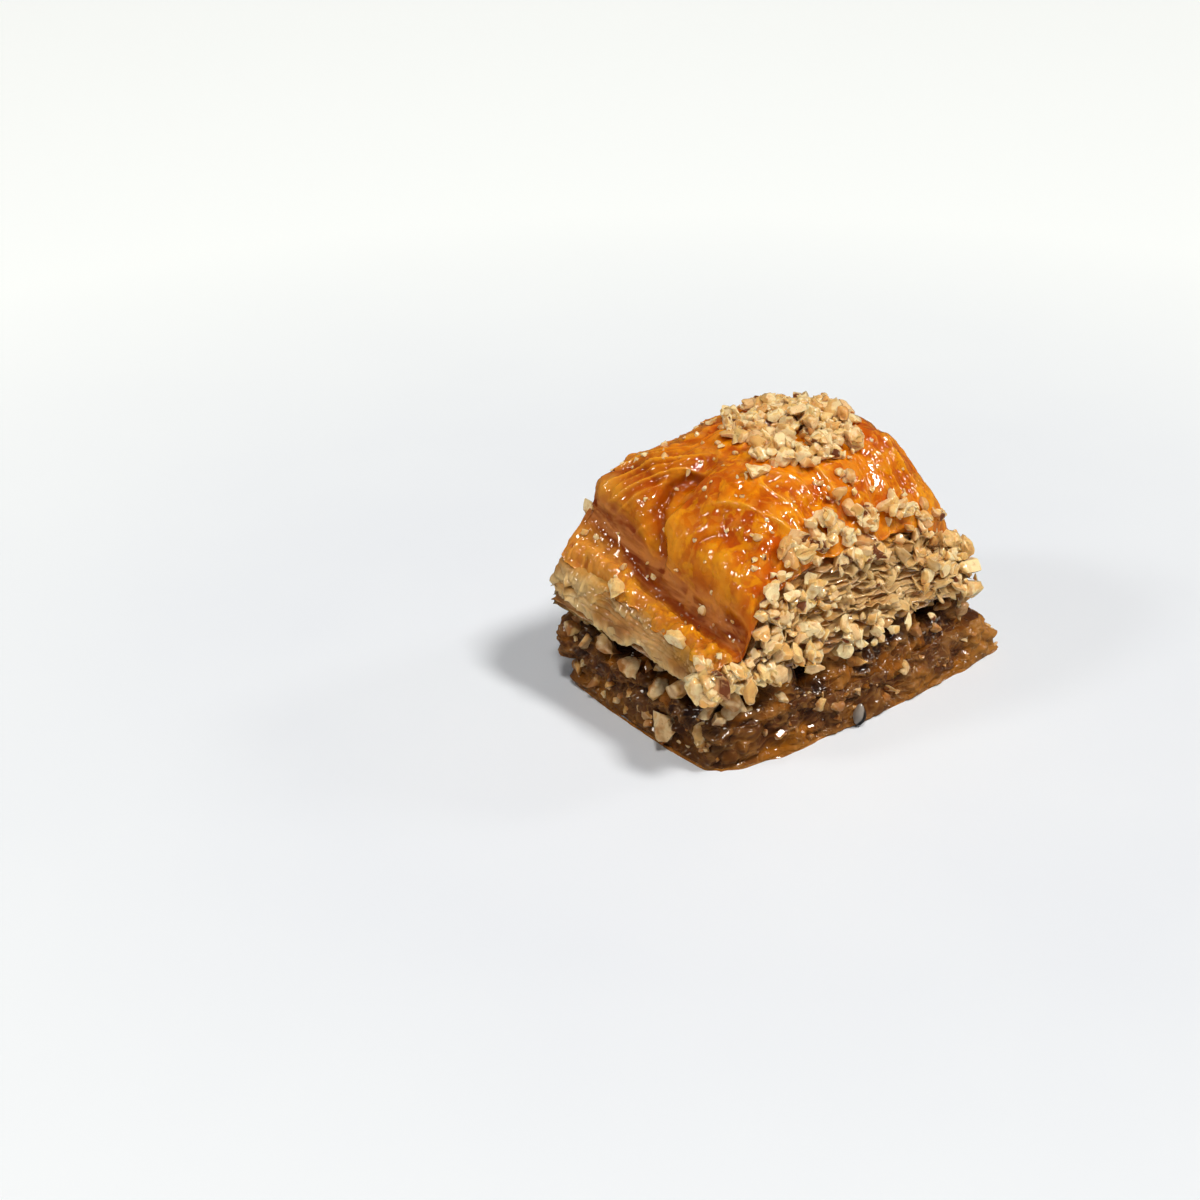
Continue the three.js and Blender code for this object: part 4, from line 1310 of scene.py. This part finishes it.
def hollow_share(t, z):
    """How much of each place belongs to a hollow, and how deep it is there, in mm."""
    share, depth = 0 * t, 0 * t
    for at, height, along, up, deep in HOLLOWS:
        length = SIDE_LENGTHS[int(at)]
        out = ((t - at) * length / along)**2 + ((z - height) / up)**2
        here = np.exp(-out**1.5)
        share, depth = np.maximum(share, here), np.maximum(depth, deep * here**0.7)
    return share, depth


def filling_side(t, h):
    a, b = outline_at(t)
    x, y = plan_point(FILLING_PLAN, a, b)
    return np.stack([x, y, lerp(FILLING_FOOT, PILE_FOOT + 0.2, h) + 0 * x], -1)


def filling_outwards(t):
    return loop_outwards(filling_side(t, 0.5)[:, :2])


def filling_core():
    """The filling's syrupy mass: lumpy, with hollows darkened by painted shade, and sagging over the slab's
    edge.
    """
    t = around(FILLING_STEPS)
    outwards = filling_outwards(t)
    a, b = outline_at(t)
    front, right, _, left = side_shares(a, b)
    sag = 1 - right
    grid, crests, deeps = [], [], []
    for h in np.linspace(0, 1, 48):
        rest = filling_side(t, h)
        rest[:, 2] -= 1.6 * sag * (1 - h)
        x, y, z = rest.T
        crest = crumpled(x, y, z, 151)
        deep, depth = hollow_share(t, z)
        out = -0.9 + 1.1 * fbm(x * 0.3, y * 0.3, z * 0.4, 3, 152) + 0.8 * crest
        out = out + 0.6 * np.abs(noise(x * 0.6, y * 0.6, z * 0.6, 154))
        out = out - depth + sag * (1.3 * (1 - h)**2 - 0.5 * smoothstep(0.12, 0, h))
        out = out + 1.5 * front * (1 - a * a) * (1 - h)**1.3
        out = out + 1.1 * left * fbm(y * 0.22, z * 0.4, 0, 2, 155)
        grid.append(shift_out(rest, outwards, out))
        crests.append(crest)
        deeps.append(deep)
    for k in (0, -1):
        closing = shift_out(grid[k], outwards, np.full(len(t), -7.0))
        grid.insert(len(grid) * -k, closing)
        crests.insert(len(crests) * -k, 0 * t)
        deeps.insert(len(deeps) * -k, 0 * t)
    points = np.concatenate(grid)
    x, y, z = points.T
    pale = 1.1 * (np.concatenate(crests) - 0.4) + 0.4 * fbm(x * 0.5, y * 0.5, z * 0.7, 3, 161)
    pale = np.clip(pale, 0, 0.7)
    amber = np.clip(1.6 * fbm(x * 0.3, y * 0.3, z * 0.4, 3, 162), 0, 0.8)
    # Painted shade: dark in the hollows, and a little darker over the whole left side.
    deep = np.clip(1.8 * np.concatenate(deeps) + 0.15 * np.tile(left, len(grid)), 0, 1)
    return make_object(
        "filling_core", points, [grid_faces(len(grid), len(t), True)], FILLING,
        pale=pale * (1 - deep), amber=amber, deep=deep * (1 - 0.5 * amber),
    )


def filling_nuts():
    rng = np.random.default_rng(37)
    n = FILLING_TRIES
    t, h = rng.uniform(0, 4, n), rng.uniform(0.08, 0.94, n)
    keep = (t < 3) | (rng.random(n) < 0.38)
    t, h = t[keep], h[keep]
    n = len(t)
    sizes = 1.0 + 3.4 * rng.beta(1.4, 2.6, n)
    out = rng.uniform(-1.6, 0.2, n) - 0.1 * sizes
    heights = lerp(FILLING_FOOT, PILE_FOOT, h)
    out = out - 0.8 * hollow_share(t, heights)[1]
    big_t, big_height, big_out, big_size = np.array(FILLING_NUTS).T
    t, sizes, out = np.append(t, big_t), np.append(sizes, big_size), np.append(out, big_out)
    heights = np.append(heights, big_height)
    ring = filling_outwards(around(FILLING_STEPS))
    places = shift_out(filling_side(t, 0.5), outwards_at(t, ring), out)
    places[:, 2] = np.clip(heights, FILLING_FOOT + 0.3 * sizes, PILE_FOOT + 0.3 - 0.25 * sizes)
    return nut_pieces("walnut_pieces", places, sizes, NUT, rng, 4, 0.5, None, len(FILLING_NUTS))


filling = filling_core()
walnuts = filling_nuts()


# ---- The slab of soaked sheets ----
SLAB_STEPS = 700
SLAB_WALL = 50


def slab_side(t, h):
    """Points of the slab's side at t, h up, with every corner but the front right one rounded."""
    a, b = outline_at(t)
    x, y = slab_plan_point(a, b, h)
    corner = smoothstep(0.84, 1, np.abs(a)) * smoothstep(0.84, 1, np.abs(b))
    corner = corner * np.where((a > 0) & (b < 0), 0.15, 1)
    scale = 1 - 1.4 * corner / np.hypot(x, y)
    return np.stack([x * scale, y * scale, h * SLAB_TOP + 0 * x], -1)


def slab_outwards_at(t):
    """Outward vectors at any places round the slab."""
    return outwards_at(t, loop_outwards(slab_side(around(SLAB_STEPS), 0.5)[:, :2]))


def slab_object():
    """Thin sheets soaked into one wet mass, lumpy and crossed by veins, with a soft top where it shows."""
    t = around(SLAB_STEPS)
    outwards = loop_outwards(slab_side(t, 0.5)[:, :2])
    left = side_shares(*outline_at(t))[3]
    # The front right corner is thin and lets the light through.
    tip = np.exp(-((t - 1) * SIDE_LENGTHS[0] / 6)**2)
    grid, pales, ambers = [], [], []

    def add(ring, pale, amber):
        grid.append(ring)
        pales.append(np.clip(pale + 0 * ring[:, 0], 0, 0.8))
        ambers.append(np.clip(amber + 0 * ring[:, 0], 0, 0.9))

    foot = slab_side(t, 0)
    for inset in (10, 3, 0.6):
        add(shift_out(foot, outwards, np.full(len(t), -inset)), 0, 0)
    for h in np.linspace(0, 1, SLAB_WALL):
        rest = slab_side(t, h)
        x, y, z = rest.T
        wander = 0.8 * noise(x * 0.4, y * 0.4, z * 0.5, 172)
        veins = wrinkle(x * 0.4 + wander, y * 0.4 - wander, z * 0.6 + wander, 171, 5)
        veins = np.maximum(veins, 0.6 * wrinkle(x * 0.8, y * 0.8, z * 0.9 + wander, 173, 5))
        lump = fbm(x * 0.27, y * 0.27, z * 0.34, 2, 175)
        bubbles = np.abs(noise(x * 0.6, y * 0.6, z * 0.6, 176))
        out = (0.35 * veins + 1.2 * lump + 0.8 * bubbles) * (1 - 0.6 * smoothstep(0.2, 0, h)) - 0.4
        # A thin wavy lip of melted sheets and syrup along the floor.
        lip = smoothstep(0.2, 0.02, h) * (0.6 + 0.5 * np.clip(noise(x * 0.1, y * 0.1, 0, 178), -0.4, 1))
        out = out + 0.9 * lip * (1 - 0.8 * left)
        out = out - 0.3 * smoothstep(0.9, 1, h) - 0.4 * smoothstep(0.03, 0, h)
        ring = shift_out(rest, outwards, out)
        pale = 0.4 * veins - 0.1 + 0.3 * lump + 0.35 * lip + 0.4 * tip
        add(ring, pale, 1.3 * fbm(x * 0.22, y * 0.22, z * 0.4, 3, 179) + 0.75 - 1.0 * h + 0.2 * lip + tip)
    rim = grid[-1]
    for inset in (0.25, 0.6, 1, 1.5, 2.1, 2.8, 3.6, 4.5, 5.5, 6.6, 8, 11):
        ring = shift_out(rim, outwards, np.full(len(t), -inset))
        x, y, z = ring.T
        bumps = 0.5 * fbm(x * 0.35, y * 0.35, 0, 3, 181) + 0.2 * fbm(x * 1.1, y * 1.1, 0, 2, 182)
        ring[:, 2] = SLAB_TOP + (0.15 + bumps) * smoothstep(0, 1.5, inset)
        add(ring, 0.6 * fbm(x * 0.3, y * 0.3, 0, 3, 183), fbm(x * 0.2, y * 0.2, 0, 3, 184))
    points = np.concatenate(grid)
    points[:, 2] = np.maximum(points[:, 2], 0)
    points, caps = capped(points, len(t))
    return make_object(
        "soaked_slab", points, [grid_faces(len(grid), len(t), True), caps], SLAB,
        pale=np.append(np.concatenate(pales), (0, 0)), amber=np.append(np.concatenate(ambers), (0, 0)),
        # Painted shade darkens the left side.
        deep=np.append(np.tile(0.3 * left, len(grid)), (0, 0)),
    )


def syrup_film():
    """A thin pool of syrup that creeps out from under the slab."""
    t = around(SLAB_STEPS // 2)
    outwards = loop_outwards(slab_side(t, 0)[:, :2])
    foot = slab_side(t, 0)
    x, y = foot[:, 0], foot[:, 1]
    left = side_shares(*outline_at(t))[3]
    reach = (0.15 + 1.4 * np.clip(fbm(x * 0.13, y * 0.13, 0, 3, 191), 0, 1)) * (1 - 0.6 * left)
    profile = ((-1.5, 0.0), (-1.0, 0.3), (0.0, 0.26), (0.5, 0.2), (0.85, 0.1), (1.0, 0.0))
    grid = []
    for along, height in profile:
        ring = shift_out(foot, outwards, reach * along)
        ring[:, 2] = height
        grid.append(ring)
    points = np.concatenate(grid)
    none = np.zeros(len(points))
    return make_object(
        "syrup_film", points, [grid_faces(len(grid), len(t), True)[:, ::-1]], SYRUP,
        pale=none, amber=none + 0.5, deep=none,
    )


# How many small crumbs the slab has.
SLAB_CRUMBS = 150
# Big pieces of nut on the slab's sides: t, height, out and size, in mm.
SLAB_NUTS = (
    (3.69, 3.0, 0.3, 5.0), (3.22, 3.2, 0.0, 3.4), (3.45, 4.6, -0.2, 2.6), (3.9, 4.6, 0.0, 3.0),
    (0.3, 5.4, 0.2, 2.4), (0.36, 4.6, 0.3, 2.6), (0.62, 5.2, 0.0, 2.2), (1.4, 3.4, 0.0, 3.2),
    (2.3, 3.2, 0.0, 3.6), (2.7, 4.0, 0.0, 3.0),
)


def slab_crumbs():
    """Crumbs stuck to the slab's sides and lying on its rim."""
    rng = np.random.default_rng(41)
    n = SLAB_CRUMBS
    t, h = rng.uniform(0, 4, n), rng.uniform(0.1, 1, n)
    sizes = 0.6 + 2.4 * rng.beta(1.2, 3, n)
    out = -0.1 - rng.uniform(0, 4, n) * (h > 0.85)
    heights = np.where(h > 0.85, SLAB_TOP + 0.3 * sizes, np.clip(h * SLAB_TOP, 0.5 * sizes, SLAB_TOP))
    big_t, big_height, big_out, big_size = np.array(SLAB_NUTS).T
    t, sizes, out = np.append(t, big_t), np.append(sizes, big_size), np.append(out, big_out)
    heights = np.append(heights, big_height)
    places = shift_out(slab_side(t, heights / SLAB_TOP), slab_outwards_at(t), out)
    places[:, 2] = heights
    return nut_pieces("slab_crumbs", places, sizes, NUT, rng, 4, 0.4, None, len(SLAB_NUTS))


def seed_finish():
    """A smooth grey seed with a black hull round its lower side."""
    f = Finish("dark_seed")
    colour = f.mix(f.attribute("hull"), rgb(150, 142, 134), rgb(26, 18, 16))
    return f.finish(Base_Color=colour, Roughness=0.4, Coat_Weight=1.0, Coat_Roughness=0.08, Coat_IOR=1.5)


# A seed that sticks out of the slab's front: t, height of its middle, and how far out, in mm.
SEED_AT = (0.428, 1.9, 0.9)
SEED_WIDTH, SEED_DEPTH, SEED_HEIGHT = 2.0, 1.8, 3.4


def seed():
    t = np.array([SEED_AT[0]])
    middle = shift_out(slab_side(t, SEED_AT[1] / SLAB_TOP), slab_outwards_at(t), np.array([SEED_AT[2]]))[0]
    ball, triangles = icosphere(6)
    x, y, z = ball.T
    narrow = 1 - 0.35 * smoothstep(0, 1, z) - 0.08 * noise(x * 1.5, y * 1.5, z * 1.5, 195)
    points = [x * narrow * SEED_WIDTH / 2, y * narrow * SEED_DEPTH / 2, z * SEED_HEIGHT / 2]
    points = np.stack(points, 1) + middle
    hull = smoothstep(0.12, 0.3, 0.65 * x - 0.5 * y - 0.6 * z + 0.15 * noise(x * 3, y * 3, z * 3, 196))
    return make_object("dark_seed", points, [triangles], seed_finish(), hull=hull)


slab = slab_object()
dark_seed = seed()
syrup = syrup_film()
base_crumbs = slab_crumbs()

# ---- What each piece stands for ----
for piece in (glazed_skin, sheet_edges, hanging_sheets, core, pastry_flakes, *crumbs):
    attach(piece, "root")
    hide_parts("top_pastry")
for piece in (filling, walnuts):
    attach(piece, "root")
    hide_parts("walnut_filling")
for piece in (slab, dark_seed, syrup, base_crumbs):
    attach(piece, "root")
    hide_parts("soaked_base")


# ---- Floor, light and camera ----

FLOOR_REACH = 3000
# The floor grows paler, and glows a little as painted light, from the first of these distances to the
# second, in mm.
FLOOR_FADE = (70, 240)


def floor_and_backdrop():
    """A pale floor, and a pale studio wall all round, far off, that lights nothing."""
    corners = FLOOR_REACH * np.array([(-1.0, -1, 0), (1, -1, 0), (1, 1, 0), (-1, 1, 0)])
    f = Finish("floor")
    tone = f.span(f.noise(0.02, 3, 0.5), 0.3, 0.7)
    near = f.mix(tone, rgb(229, 237, 250), rgb(232, 240, 252))
    away = f.node("ShaderNodeVectorMath", f.place, operation="LENGTH").outputs["Value"]
    far = f.span(f.maths("DIVIDE", away, MM), *FLOOR_FADE)
    # Farther off, the floor is paler and glows a little: painted light toward the backdrop.
    material = f.finish(
        Base_Color=f.mix(far, near, rgb(244, 251, 255)), Roughness=0.45,
        Emission_Color=rgb(225, 235, 255), Emission_Strength=f.maths("MULTIPLY", far, 0.1),
    )
    ground = make_object("floor", corners, [np.array([[0, 1, 2, 3]])], material, False)
    turns = np.arange(64) * 2 * np.pi / 64
    rings = [
        np.stack([np.cos(turns) * reach, np.sin(turns) * reach, height + 0 * turns], 1) * FLOOR_REACH
        for reach, height in ((0.95, -0.05), (0.95, 0.6), (0.8, 1.1), (0.4, 1.5), (0.01, 1.6))
    ]
    f = Finish("backdrop")
    material = f.finish(
        Base_Color=rgb(0, 0, 0), Roughness=1.0, Specular_IOR_Level=0.0,
        Emission_Color=rgb(244, 247, 251), Emission_Strength=1.0,
    )
    wall = make_object("backdrop", np.concatenate(rings), [grid_faces(len(rings), 64, True)], material)
    # The syrup mirrors the dim studio instead of the bright floor, which would veil its colour.
    ground.visible_glossy = False
    wall.visible_glossy = wall.visible_diffuse = wall.visible_shadow = False


def camera_axes(azimuth, elevation):
    """Right, up and back directions of a view at this azimuth and elevation, in degrees."""
    turn, rise = np.radians(azimuth), np.radians(elevation)
    back = np.array([np.sin(turn) * np.cos(rise), -np.cos(turn) * np.cos(rise), np.sin(rise)])
    right = np.array([np.cos(turn), np.sin(turn), 0])
    return right, np.cross(back, right), back


def place_camera():
    right, up, back = camera_axes(AZIMUTH, ELEVATION)
    focal_px = LENS / SENSOR * FRAME_PX
    ray = right * (AIM_PX[0] - FRAME_PX / 2) / focal_px - up * (AIM_PX[1] - FRAME_PX / 2) / focal_px - back
    place = (SHIFT - unit(ray) * DISTANCE) * MM
    data = bpy.data.cameras.new("camera")
    data.lens, data.sensor_width, data.sensor_fit = LENS, SENSOR, "HORIZONTAL"
    data.clip_start, data.clip_end = 0.005, 10
    bpy.context.scene.camera = placed("camera", data, (right, up, back), place)


def placed(name, data, axes, place):
    """An object for a camera or a light that looks along the last axis backwards."""
    item = bpy.data.objects.new(name, data)
    item.matrix_world = Matrix([*np.stack([*axes, place], 1), (0, 0, 0, 1)])
    bpy.context.scene.collection.objects.link(item)
    return item


# Suns: name, azimuth, elevation, how wide they are in degrees, and strength.
SUNS = (
    ("key", 32, 58, 12, 2.0),
    ("fill", -45, 66, 11, 1.3),
    ("left_side", -112, 33, 10, 0.55),
    ("right_side", 68, 28, 10, 0.3),
)
WARM = (1.0, 0.94, 0.85)


def light_scene():
    world = bpy.data.worlds.new("studio")
    world.use_nodes = True
    background = world.node_tree.nodes["Background"]
    background.inputs["Color"].default_value = (1.0, 0.99, 0.97, 1)
    background.inputs["Strength"].default_value = 0.08
    bpy.context.scene.world = world
    for name, azimuth, elevation, width, strength in SUNS:
        data = bpy.data.lights.new(name, "SUN")
        data.angle = np.radians(width)
        data.energy = strength
        data.color = WARM
        placed(name, data, camera_axes(azimuth, elevation), np.zeros(3))


floor_and_backdrop()
place_camera()
light_scene()
bpy.context.scene.view_settings.view_transform = "Standard"
